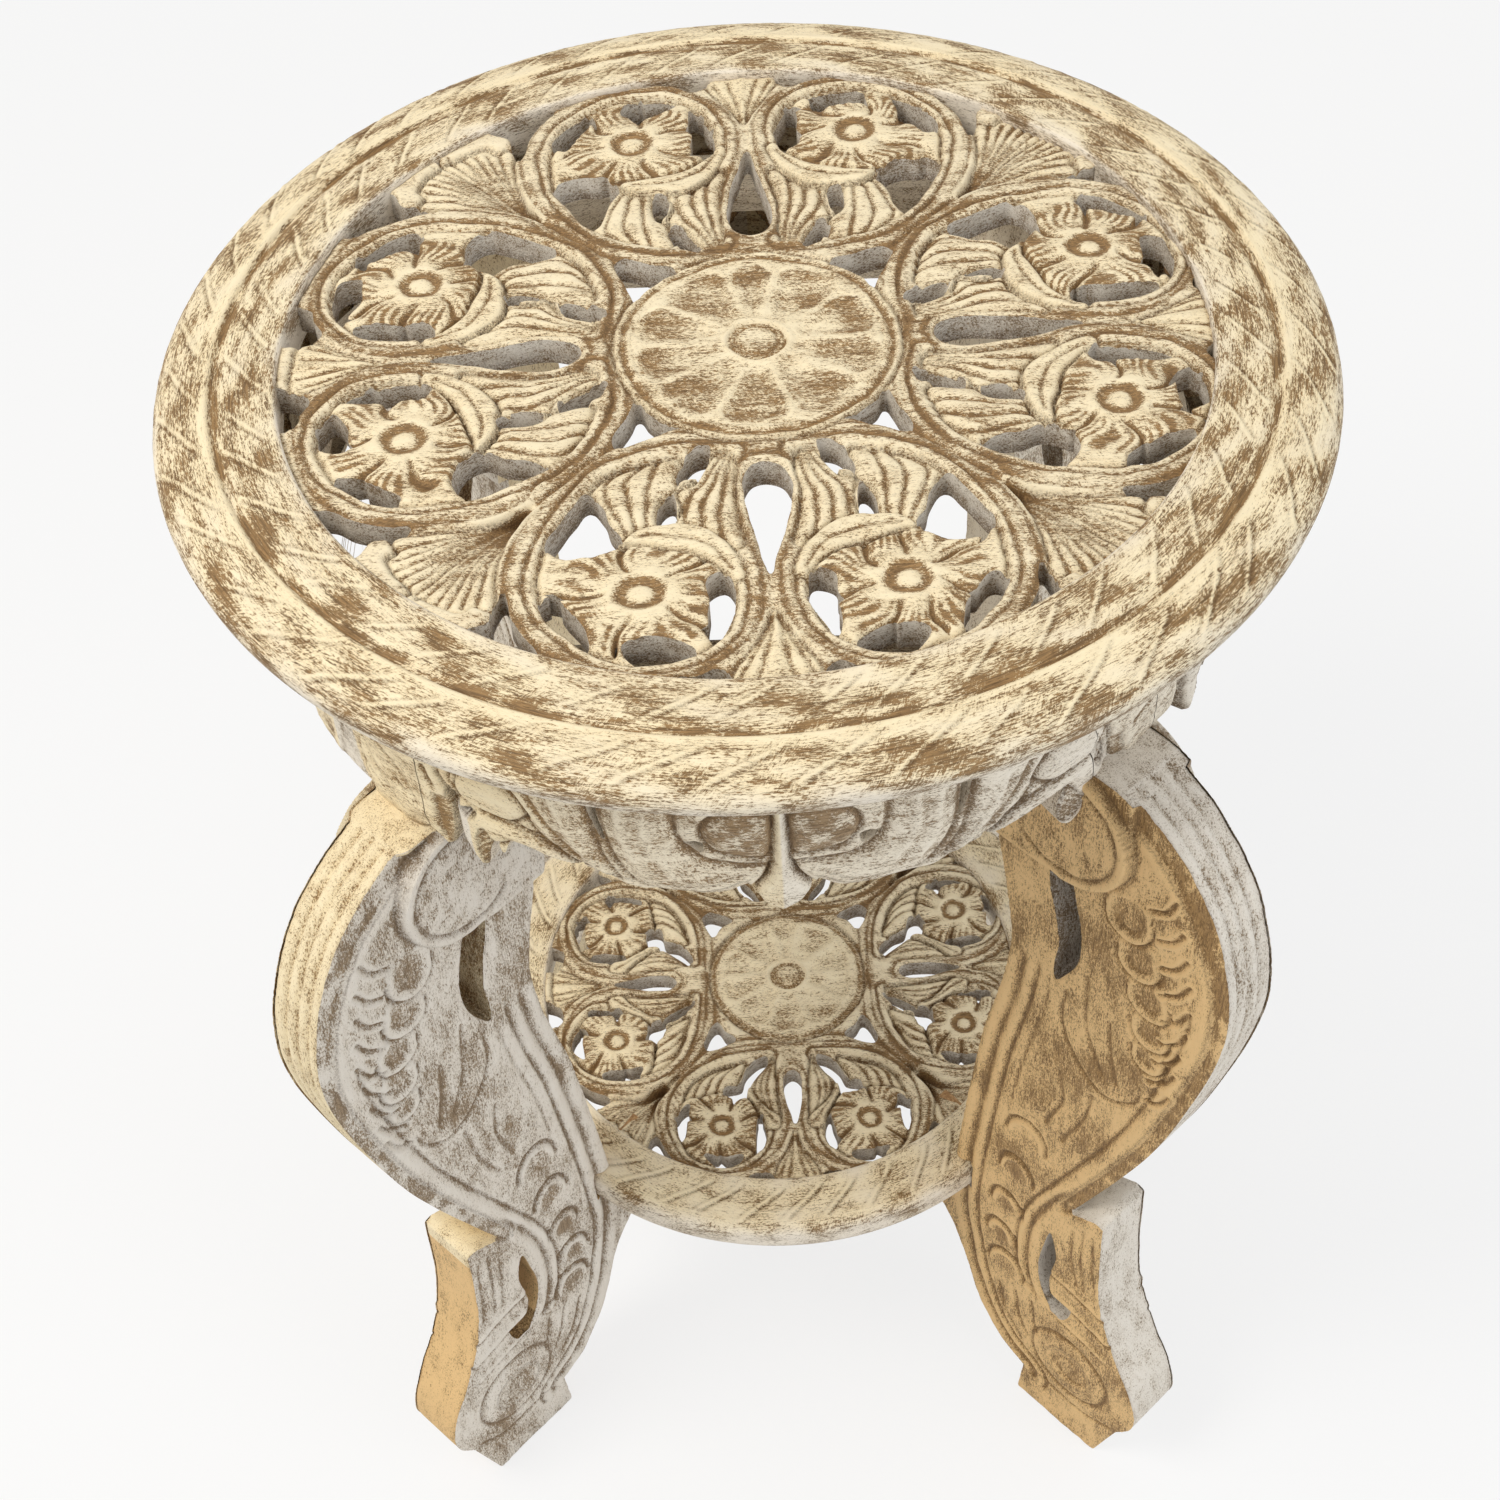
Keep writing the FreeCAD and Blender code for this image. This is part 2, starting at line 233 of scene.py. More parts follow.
def mesh_object(name, points, faces, attributes, material, node):
    """faces is a list of index arrays, each of one polygon size. Points are in mm."""
    mesh = bpy.data.meshes.new(name)
    faces = [f for f in faces if len(f)]
    loops = np.concatenate([f.ravel() for f in faces]).astype(np.int32)
    sizes = np.concatenate([np.full(len(f), f.shape[1]) for f in faces])
    used, index = np.unique(loops, return_inverse=True)
    points = points[used]
    mesh.vertices.add(len(points))
    mesh.vertices.foreach_set("co", (points * MM).astype(np.float32).ravel())
    mesh.loops.add(len(loops))
    mesh.loops.foreach_set("vertex_index", index.astype(np.int32))
    mesh.polygons.add(len(sizes))
    mesh.polygons.foreach_set("loop_start", np.r_[0, np.cumsum(sizes)[:-1]].astype(np.int32))
    mesh.polygons.foreach_set("use_smooth", np.ones(len(sizes), bool))
    mesh.update(calc_edges=True)
    for key, values in attributes.items():
        values = values[used]
        kind = "FLOAT" if values.ndim == 1 else "FLOAT_VECTOR"
        layer = mesh.attributes.new(key, kind, "POINT")
        layer.data.foreach_set("value" if values.ndim == 1 else "vector", values.astype(np.float32).ravel())
    mesh.validate()
    mesh.materials.append(material)
    piece = bpy.data.objects.new(name, mesh)
    bpy.context.scene.collection.objects.link(piece)
    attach(piece, "root")
    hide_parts(node)
    return piece


def clip_cells(x, y, field):
    """The part of a grid where field is positive: a function that spreads values over its points, the
    points, the polygons, the segments of its edge, the whole cells, and the numbers of the points."""
    rows, cols = field.shape
    inside = field > 0
    ids = np.arange(rows * cols).reshape(rows, cols)
    level = np.full((rows, cols - 1), -1)
    upright = np.full((rows - 1, cols), -1)
    first = []
    second = []
    count = rows * cols
    for target, a, b in ((level, ids[:, :-1], ids[:, 1:]), (upright, ids[:-1], ids[1:])):
        cut = inside.ravel()[a] != inside.ravel()[b]
        number = int(cut.sum())
        target[cut] = count + np.arange(number)
        count += number
        first.append(a[cut])
        second.append(b[cut])
    first = np.concatenate(first)
    second = np.concatenate(second)
    f = field.ravel()
    share = f[first] / (f[first] - f[second])
    corners = [ids[:-1, :-1], ids[:-1, 1:], ids[1:, 1:], ids[1:, :-1]]
    edges = [level[:-1], upright[:, 1:], level[1:], upright[:, :-1]]
    code = sum(inside.ravel()[c].astype(int) << k for k, c in enumerate(corners))
    faces = {3: [], 4: [], 5: [], 6: []}
    cuts = []
    for kind in range(1, 16):
        here = code == kind
        if not here.any():
            continue
        ring = []
        for k in range(4):
            if kind >> k & 1:
                ring.append((corners[k][here], False))
            if (kind >> k & 1) != (kind >> (k + 1) % 4 & 1):
                ring.append((edges[k][here], True))
        faces[len(ring)].append(np.stack([r[0] for r in ring], 1))
        for one, two in zip(ring, ring[1:] + ring[:1]):
            if one[1] and two[1]:
                cuts.append(np.stack([one[0], two[0]], 1))
    lists = {k: np.vstack(v) for k, v in faces.items() if v}

    def spread(values):
        v = values.reshape(rows * cols, -1)
        s = share[:, None]
        both = np.vstack([v, v[first] * (1 - s) + v[second] * s])
        return both[:, 0] if values.ndim == 2 else both

    plane = np.stack([x, y], -1)
    return spread, spread(plane), lists, np.vstack(cuts), code == 15, ids


def strips(full, ids):
    """Long quads that cover the whole cells of each row, for a plain flat side."""
    quads = []
    for j in range(full.shape[0]):
        change = np.flatnonzero(np.diff(np.r_[0, full[j].astype(int), 0]))
        for a, b in change.reshape(-1, 2):
            quads.append((ids[j, a], ids[j, b], ids[j + 1, b], ids[j + 1, a]))
    return np.array(quads)


def slab(name, node, material, x, y, field, relief, up, low, place, under=None, wall_steps=4,
         wall_shape=None, wall_worn=0.3, wall_tint=0.12):
    """A carved board: a top relief over a plane, upright walls round its openings, and a flat underside,
    or a carved one where under is given. place turns plane points and heights into points in mm."""
    spread, plane, lists, cuts, full, ids = clip_cells(x, y, field)
    count = len(plane)
    heights = [spread(up), spread(low + np.zeros(x.shape))]
    points = [place(plane, h) for h in heights]
    marks = {"grain": [np.c_[plane, h] for h in heights]}
    for key, plain in (("worn", 0.35), ("dark", 0.0), ("tint", 0.3)):
        below = spread(getattr(under, key)) if under else np.full(count, plain)
        marks[key] = [spread(getattr(relief, key)), below]
    faces = list(lists.values())
    if under:
        faces += [f[:, ::-1] + count for f in lists.values()]
    else:
        part = [f[(f >= ids.size).any(1)] for f in lists.values()]
        faces += [f[:, ::-1] + count for f in part + [strips(full, ids)] if len(f)]
    edge, index = np.unique(cuts.ravel(), return_inverse=True)
    index = index.reshape(-1, 2)
    fy, fx = np.gradient(field)
    normal = -spread(np.stack([fx, fy], -1))[edge]
    normal /= np.maximum(np.hypot(normal[:, 0], normal[:, 1]), 1e-9)[:, None]
    size = len(edge)
    for k in range(wall_steps + 1):
        s = k / wall_steps
        height = heights[0][edge] * (1 - s) + heights[1][edge] * s
        spot = plane[edge]
        if wall_shape:
            push, extra, toned, stain_and_shade = wall_shape(spot, normal, s)
            spot = spot + normal * push[:, None]
            grain = np.c_[height, spot[:, ::-1]]
        else:
            extra = toned = 0.0
            # painted shade on the walls of openings: darker towards the bottom of each wall, broken by the
            # dark lines
            stain_and_shade = np.full(size, 0.8 * ease((s - 0.3) / 0.7))
            grain = np.c_[spot @ np.array([0.7, 0.7]), height, spot @ np.array([0.7, -0.7])]
        points.append(place(spot, height))
        marks["worn"].append(np.full(size, wall_worn) + extra)
        marks["dark"].append(stain_and_shade)
        # the wall tone is partly the paint's own tone and partly painted light, cool grey on walls in shade
        marks["tint"].append(np.full(size, wall_tint) + toned)
        marks["grain"].append(grain)
    for k in range(wall_steps):
        a = 2 * count + k * size + index
        b = a + size
        faces.append(np.stack([a[:, 1], a[:, 0], b[:, 0], b[:, 1]], 1))
    attributes = {key: np.concatenate(marks[key]) for key in ("worn", "dark", "tint", "grain")}
    return mesh_object(name, np.vstack(points), faces, attributes, material, node)


def flat_place(points, heights):
    return np.c_[points, heights]


# the material: thin cream paint over brown wood, rubbed through along the grain

class Nodes:
    """Short calls for building a node tree."""

    def __init__(self, tree):
        self.tree = tree

    def add(self, kind, **settings):
        node = self.tree.nodes.new(kind)
        for key, value in settings.items():
            setattr(node, key, value)
        return node

    def feed(self, socket, value):
        if isinstance(value, bpy.types.NodeSocket):
            self.tree.links.new(value, socket)
        elif value is not None:
            socket.default_value = value

    def attribute(self, name, output="Fac"):
        return self.add("ShaderNodeAttribute", attribute_name=name).outputs[output]

    def math(self, operation, a, b=None, clamp=False):
        node = self.add("ShaderNodeMath", operation=operation, use_clamp=clamp)
        self.feed(node.inputs[0], a)
        self.feed(node.inputs[1], b)
        return node.outputs[0]

    def stretch(self, vector, scale):
        node = self.add("ShaderNodeVectorMath", operation="MULTIPLY")
        self.feed(node.inputs[0], vector)
        node.inputs[1].default_value = scale
        return node.outputs[0]

    def total(self, *terms):
        """The sum of some values, each with its share."""
        first, *rest = [self.math("MULTIPLY", value, share) for value, share in terms]
        for part in rest:
            first = self.math("ADD", first, part)
        return first

    def noise(self, vector, scale, detail, rough, bend=0.0):
        node = self.add("ShaderNodeTexNoise")
        self.feed(node.inputs["Vector"], vector)
        node.inputs["Scale"].default_value = scale
        node.inputs["Detail"].default_value = detail
        node.inputs["Roughness"].default_value = rough
        node.inputs["Distortion"].default_value = bend
        return node.outputs["Fac"]

    def ramp(self, value, low, high):
        node = self.add("ShaderNodeMapRange", interpolation_type="SMOOTHSTEP")
        self.feed(node.inputs["Value"], value)
        node.inputs["From Min"].default_value = low
        node.inputs["From Max"].default_value = high
        return node.outputs["Result"]

    def mix(self, share, one, two):
        node = self.add("ShaderNodeMix", data_type="RGBA")
        self.feed(node.inputs[0], share)
        self.feed(node.inputs[6], one)
        self.feed(node.inputs[7], two)
        return node.outputs[2]

    def bump(self, shader, height, strength, reach):
        node = self.add("ShaderNodeBump")
        node.inputs["Strength"].default_value = strength
        node.inputs["Distance"].default_value = reach
        self.feed(node.inputs["Height"], height)
        self.feed(shader.inputs["Normal"], node.outputs[0])


def linear(*colour):
    """A colour of 0 to 255 as the renderer counts it."""
    return tuple(c / 255 / 12.92 if c < 11 else ((c / 255 + 0.055) / 1.055) ** 2.4 for c in colour) + (1.0,)


def new_material(name):
    material = bpy.data.materials.new(name)
    material.use_nodes = True
    return material, Nodes(material.node_tree), material.node_tree.nodes["Principled BSDF"]


def painted_wood(name, warm=(244, 229, 194), cool=(222, 216, 206), wood=(166, 131, 84), bare=(108, 80, 46),
                 along=(0.3, 1.0, 1.0)):
    """Cream or cool paint by the mark tint, which on some faces also paints light, warm where lit and cool
    where shaded, over wood that shows where the mark worn is high. along gives the scale of the noise on the
    three axes
    of the mark grain: a low one draws the noise out."""
    material, n, shader = new_material(name)
    grain = n.attribute("grain", "Vector")
    worn, dark, tint = (n.attribute(mark) for mark in ("worn", "dark", "tint"))
    drawn = n.stretch(grain, along)
    turned = n.add("ShaderNodeMapping")
    n.feed(turned.inputs["Vector"], grain)
    turned.inputs["Rotation"].default_value = (0, 0, math.radians(57))
    flakes = n.noise(drawn, 2.0, 4.0, 0.8)
    hatch = n.noise(n.stretch(turned.outputs[0], along), 1.7, 3.0, 0.8)
    patches = n.noise(drawn, 0.16, 4.0, 0.65, 0.4)
    clouds = n.noise(grain, 0.03, 3.0, 0.5)
    streaks = n.noise(n.stretch(grain, tuple(c * c * 1.3 for c in along)), 1.2, 5.0, 0.7)
    spread = n.ramp(n.noise(grain, 0.06, 2.0, 0.5), 0.45, 0.6)

    def toned(low, high):
        return n.mix(n.ramp(tint, 0.0, 1.0), linear(*low), linear(*high))

    def grained(one, two):
        return n.mix(n.ramp(streaks, 0.40, 0.66), linear(*one), linear(*two))

    hatched = n.math("MULTIPLY", spread, 0.45)
    fine = n.math("ADD", n.math("MULTIPLY", flakes, n.math("SUBTRACT", 1.0, hatched)),
                  n.math("MULTIPLY", hatch, hatched))
    level = n.total((fine, 1.3), (patches, 0.42), (clouds, 0.16), (streaks, 0.34), (worn, 0.13))
    rubbed = n.math("MULTIPLY", n.ramp(level, 1.20, 1.235), 0.94)
    wood_tone = n.mix(n.ramp(tint, 0.7, 0.1), grained(wood, bare), grained((152, 130, 102), (112, 92, 68)))
    paint = n.mix(n.ramp(tint, 1.0, 2.0), toned(cool, warm), linear(228, 192, 138))
    shade = n.ramp(n.total((patches, 0.6), (streaks, 0.4)), 0.38, 0.66)
    paint = n.mix(n.math("MULTIPLY", shade, 0.22), paint, toned((190, 176, 156), (214, 184, 132)))
    thin = n.ramp(level, 1.06, 1.22)
    paint = n.mix(n.math("MULTIPLY", thin, 0.32), paint, toned((166, 146, 118), (198, 164, 112)))
    colour = n.mix(rubbed, paint, wood_tone)
    strokes = n.noise(n.stretch(grain, tuple(c ** 1.5 for c in along)), 2.6, 4.0, 0.8)
    cracks = n.ramp(n.math("ADD", strokes, n.total((patches, 0.25), (worn, 0.02))), 0.715, 0.77)
    colour = n.mix(n.math("MULTIPLY", cracks, 0.72), colour, linear(92, 68, 40))
    # the mark dark draws dark brown lines: stain in the grooves, and painted shade in openings, slits, pits
    # and beside the notches
    lines = n.math("MULTIPLY", dark, n.ramp(n.noise(grain, 1.3, 3.0, 0.8), 0.36, 0.58), clamp=True)
    n.feed(shader.inputs["Base Color"], n.mix(lines, colour, linear(84, 60, 36)))
    n.feed(shader.inputs["Roughness"], n.math("ADD", n.math("MULTIPLY", rubbed, -0.12), 0.74))
    shader.inputs["Specular IOR Level"].default_value = 0.3
    relief = n.math("SUBTRACT", n.math("MULTIPLY", flakes, 0.5), n.math("MULTIPLY", rubbed, 0.5))
    n.bump(shader, n.math("ADD", relief, n.math("MULTIPLY", streaks, 0.6)), 0.5, 0.0006)
    return material


wood_top = painted_wood("whitewash_top", wood=(154, 119, 73), bare=(96, 69, 38))
wood_rim = painted_wood("whitewash_rim", cool=(240, 231, 216), wood=(150, 116, 72), bare=(94, 68, 38),
                        along=(0.22, 1.0, 0.22))
wood_leg = painted_wood("whitewash_leg", cool=(228, 221, 210), along=(1.0, 0.3, 1.0))
wood_apron = painted_wood("whitewash_apron", cool=(238, 230, 216))


# the moulded rings

# the radii in mm at which the noise and the marks of the wood are laid round a ring
NOISE_RADIUS = 180
GRAIN_RADIUS = 185
# for each notch: how far off its place it lies, its size, and where along its row it starts and ends
NOTCH_SPANS = ((-0.14, 0.14), (0.75, 1.15), (-0.02, 0.12), (0.88, 1.03))


def ring(name, node, section, turns, notches, seed):
    """A ring with cut notches. section gives all round it (radius, height, worn, notch depth share, tint),
    and notches gives (start, end, radius, lean) for each row, along the section."""
    rng = np.random.default_rng(seed)
    section = np.array(section, float)
    step = np.r_[0, np.cumsum(np.hypot(*np.diff(section[:, :2], axis=0).T))]
    count = int(step[-1] / (0.8))
    at = np.linspace(0, step[-1], count)
    r, z, worn, share, tint = (np.interp(at, step, column) for column in section.T)
    around = int(2 * math.pi * r.max() / (0.75))
    T, R = np.meshgrid(np.linspace(0, 2 * math.pi, around + 1), r, indexing="ij")
    S = np.broadcast_to(at, T.shape)
    cut = np.zeros(T.shape)
    rise = np.zeros(T.shape)
    for low, high, middle, lean in notches:
        u = (S - low) / (high - low)
        bend = lean * (u - 0.5) - np.sin(2 * math.pi * np.clip(u, 0, 1)) * 0.04 * lean
        spot = (T * turns / (2 * math.pi) - bend * turns / (2 * math.pi * middle)) % turns
        index = np.floor(spot).astype(int) % turns
        off, size, start, end = (rng.uniform(*span, turns)[index] for span in NOTCH_SPANS)
        slope = (high - low) / math.hypot(high - low, lean)
        d = (spot - np.floor(spot) - 0.5 - off) * 2 * math.pi * middle / turns * slope
        window = size * ease((u - start) / 0.18) * ease((end - u) / 0.2)
        rise += window * bell(d, 0.7)
        # the groove beside each ridge lies mostly on one side, and is darkened below as painted shadow on
        # that side
        cut += window * (bell(d - 1.5, 0.6) + 0.4 * bell(d + 1.5, 0.5))
    lap = 2 * math.pi * NOISE_RADIUS

    def noise(stretched, size, number):
        return wobble(T * NOISE_RADIUS, S * stretched, size, seed + number, lap)

    rough = noise(1, 26, 0) * 0.25 + noise(1.5, 9, 1) * 0.1
    nz = np.gradient(r, at)
    nr = -np.gradient(z, at)
    size = np.hypot(nr, nz)
    push = (0.22 * rise - 0.7 * cut) * share - 0.5 * np.abs(rough) * np.clip(share + 0.3, 0, 1)
    R = R + push * nr / size
    Z = np.minimum(z + push * nz / size, section[:, 1].max() + 0.1)
    points = np.stack([R * np.cos(T), R * np.sin(T), Z], -1).reshape(-1, 3)
    a = (np.arange(around)[:, None] * count + np.arange(count - 1)[None]).ravel()
    quads = np.stack([a, a + 1, a + count + 1, a + count], 1)
    patch = noise(2, 30, 2)
    worn = worn * (1 + 0.7 * noise(3, 16, 3)) + 0.65 * patch + (0.5 * cut - 1.3 * np.clip(rise, 0, 1)) * share
    attributes = {
        "worn": worn.ravel(),
        # dark: painted shadow in the grooves beside the notch ridges
        "dark": (0.75 * np.clip(cut, 0, 1) * share).ravel(),
        "tint": (tint + 0.2 * patch).ravel(),
        "grain": np.stack([GRAIN_RADIUS * np.cos(T), S, GRAIN_RADIUS * np.sin(T)], -1).reshape(-1, 3),
    }
    return mesh_object(name, points, [quads], attributes, wood_rim, node)


ring("top_rim_carved", "top_rim", [
    (RIM_IN, RIM_UNDER, 0.2, 0, 0.1), (RIM_IN, 513.8, 0.2, 0, 0.1), (158.6, 514.9, 0.5, 0.2, 0.7),
    (166, 514.9, 0.5, 1, 0.9), (175.5, 514.5, 0.7, 0.7, 0.9), (178.3, 512.6, 1.5, 0, 0.9),
    (179.2, 512.5, 1.3, 0, 0.9), (180.2, 513.9, 0, 0, 1), (181.2, 514.6, -0.6, 0, 1),
    (182.2, 514.2, 0, 0.3, 1), (188, 513.6, 0.45, 1, 0.9), (193, 512.2, 0.5, 1, 0.9),
    (197, 510, 0.55, 0.9, 0.8), (199.4, 507, 0.6, 0.6, 0.6), (200, 504.5, 0.7, 0.3, 0.4),
    (199.2, 501, 0.6, 0, 0.2), (197, 498.4, 0.3, 0, 0.2), (194.4, RIM_UNDER, 0.2, 0, 0.2),
    (176, RIM_UNDER, 0.6, 0, 0.2), (RIM_IN, RIM_UNDER, 0.6, 0, 0.2)],
     46, [(18, 38, 168, -24), (42, 62, 190, -32)], 3)


# the two pierced panels: one heart of scrolls is drawn, and folded round to the four sides

TOP_HEART = {
    "shift": 4.9, "turn": 1.55,
    "gaps": [
        pts("57,70 52.5,76 51,84 47.5,91 52,98 60,100.5 67,98 70,93 67,86 62,77"),
        pts("18,52 23,53 27,60 28,66.5 24,66 20.5,60.5"),
        pts("30.5,73 33.5,77 34,86 29.8,85.5 29.3,79"),
        pts("67,117 71,119 69,126 64,133 57.5,139 58.5,131 62.5,124"),
        pts("19.5,113 13.5,110.5 11.8,118 13.5,128 18.5,138 20,130 19,121"),
        pts("45,138 43,144.5 33,145.7 25,143 30,138.5 36,136.5"),
        pts("30,154.4 24,153.4 18,150.5 13.5,155 13,163 32,163"),
        pts("82.5,113 85.5,119 87,126 95,131 90,141 74,150 72.5,140 77,132.5 80.5,124"),
    ],
    "drop": pts("0,60 4.5,62 7,67 7.5,74 6,83 4,93 1.8,102 0,110 -1.8,102 -4,93 -6,83 -7.5,74 -7,67 -4.5,62"),
    "corner": pts("41.5,27.5 38.5,32.5 32.5,38.5 27.5,41.5 36,44.5 45.5,48.5 48.5,45.5 44.5,36"),
    "outer": pts("0,48 10,49 25,47 38,48 45,51 52,54 58,58 62,65 68,72 76,77 81,87 84,100 85,112 82,122 "
                 "78,132 74,140 66,147 55,152 45,155 30,156.5 20,152 12,146 5,138 1.5,130 0.3,120 0.6,110 "
                 "2.6,100 5,92 7,83 8.5,74 8,66 5,60.5 0,58.5"),
    "inner": pts("10,55 20,53.5 30,54 40,57 50,62 57,69 64,80 69,92 72,110 71,117 68,127 62,135 57,140 "
                 "48,145 40,146.5 30,146 22,142 15,135 12,125 11.5,118 13,110 18,105 24,101 32,98.5 40,95.5 "
                 "46,94.5"),
    "fan": pts("76.5,76 81,86 84.3,99 85,110 84.5,118 88,119.5 92,117.5 96,120.5 104,117 112,112 120,120 "
               "160,160 90,90"),
    "fan_edges": (pts("77,77 83,92 86,106 87,119"), pts("76,76 88,88 100,100 114,114")),
    "leaves": [
        (pts("28,55 38,57 48,61 56,68 54.5,72 51.5,86 46.5,92 41,87.5 34.5,87 33,75 29,70 26.5,62"),
         (pts("45,58 54,67 51.5,78 46,91"), pts("30,55 29.5,65 32,75 35,87"))),
        (pts("9.5,57 16,54 20,60 22.5,65 24,68 29,71 27.5,79 29,86.5 22,88 16,93 11,100 7,98 9,86 10.5,74"),
         (pts("15,55 20,65 27,74 28.5,86"), pts("9.5,58 11,72 10.5,85 8,99"))),
    ],
    "petals": pts("70,93 72,110 71,117 68,127 62,135 57,140 48,145 40,146.5 30,146 22,142 15,135 12,125 "
                  "11.5,118 13,110 18,105 24,101 32,98.5 40,95.8 46,95 52,98 60,100.5 66,98"),
    "flower": (41, 117, 26.0, 6.2),
    "curl": pts("10,101 16,93 22,88.3 30,86.7 41,88 46.5,92.5 46,94.5 40,95.3 32,98.3 24,100.8 18,104.8 "
                "13.5,109.5 12,114 7,112"),
    "curl_line": pts("11,109 17,99.5 25,94.5 34,92 42,92"),
    "tip": pts("-12.5,157.5 -13,152 -8,143 -3,134 0,127 3,134 8,143 13,152 12.5,157.5"),
    "tip_edges": (pts("1,130 5,141 11,154"), pts("0,130 0,141 0,157")),
    "rosette": (49.5, 42.8, 46.0, 42.0, 12.8, 9.9, 7.6),
}
SHELF_HEART = {
    "shift": 3.9, "turn": 1.3,
    "gaps": [
        pts("11,43 15,44 20,49 22.5,55 29,57 29.5,61.5 22,62.5 19.5,56 15,50"),
        pts("45,66 48.5,68 50,75 48.5,82 47,80 46.3,73"),
        pts("15,73 13.3,80 14,88 16,89 16.8,84 16,78"),
        pts("39,91 33,96 25,94.5 24,92 31,92.3"),
        pts("20,102.2 13,102 9.8,105 9.5,112 22,110"),
        pts("60,80 63.5,85 66,92 51,100 52.5,93.5 56.5,87"),
    ],
    "drop": pts("0,50.5 3,53 3.6,58 3,65 1.5,72 0,77 -1.5,72 -3,65 -3.6,58 -3,53"),
    "corner": pts("24.5,33 29,29 33,24.5 37.5,34 34,37.5"),
    "outer": pts("0,34.5 10,35 20,35 30,37 38,41.5 45,46 52,53 58,60 60,68 59.5,78 57,87 50,96 41,100.5 "
                 "30,102 20,101 11,96 5,90 2,83 1,76 2.6,66 4.6,58 3.6,51.5 0,49"),
    "inner": pts("10,42.5 20,43 30,45 40,50 47,57 50.5,66 51,76 48.5,85 43,92 35,96.5 27,96.5 19,93 14,87 "
                 "12.5,80 13.5,73 17,66 21,60"),
    "fan": pts("52,53 58,60 60.5,68 60,78 64,85 68,90 75,76 100,100 54,54"),
    "fan_edges": (pts("55,57 60,66 62,76 65,86"), pts("54,54 60,60 67,67 76,76")),
    "leaves": [
        (pts("20,44 30,46 39,50 45,56 47,63 40,63 33,60 29.5,61 24,55 21,49"),
         (pts("30,46 41,52 45,62"), pts("22,45 26,52 30,60"))),
        (pts("8,43 12,45 17,51 20,57 20,62 15,67 11,72 6,74 6.5,62 7,52"),
         (pts("11,45 18,56 15,66"), pts("8,45 9,58 7,73"))),
    ],
    "petals": pts("47,63 50,70 50.5,77 48,85 43,92 35,96 27,96.2 19.5,92.5 14.5,86.5 13,80 14,73 18,66 "
                  "22,62 30,60 39,61"),
    "flower": (31.5, 77, 19.0, 4.6),
    "curl": pts("6,74 11,69 16,63 19,57 21.5,60 17.5,66.5 14,73 12.5,79 7,80"),
    "curl_line": pts("8,77.5 11.5,72 15.5,66 18.5,60.5"),
    "tip": pts("-10,105 -9,100 -5,93 -2,86 0,81 2,86 5,93 9,100 9,105"),
    "tip_edges": (pts("0.7,84 3.5,93 7.5,103"), pts("0,84 0,93 0,105")),
    "rosette": (35.0, 30.6, 33.0, 29.8, 9.4, 7.4, 5.6),
}
# the angles between the rosette's petals, in degrees
ROSE_CUTS = (0, 38, 78, 104, 145, 178, 210, 248, 287, 328)


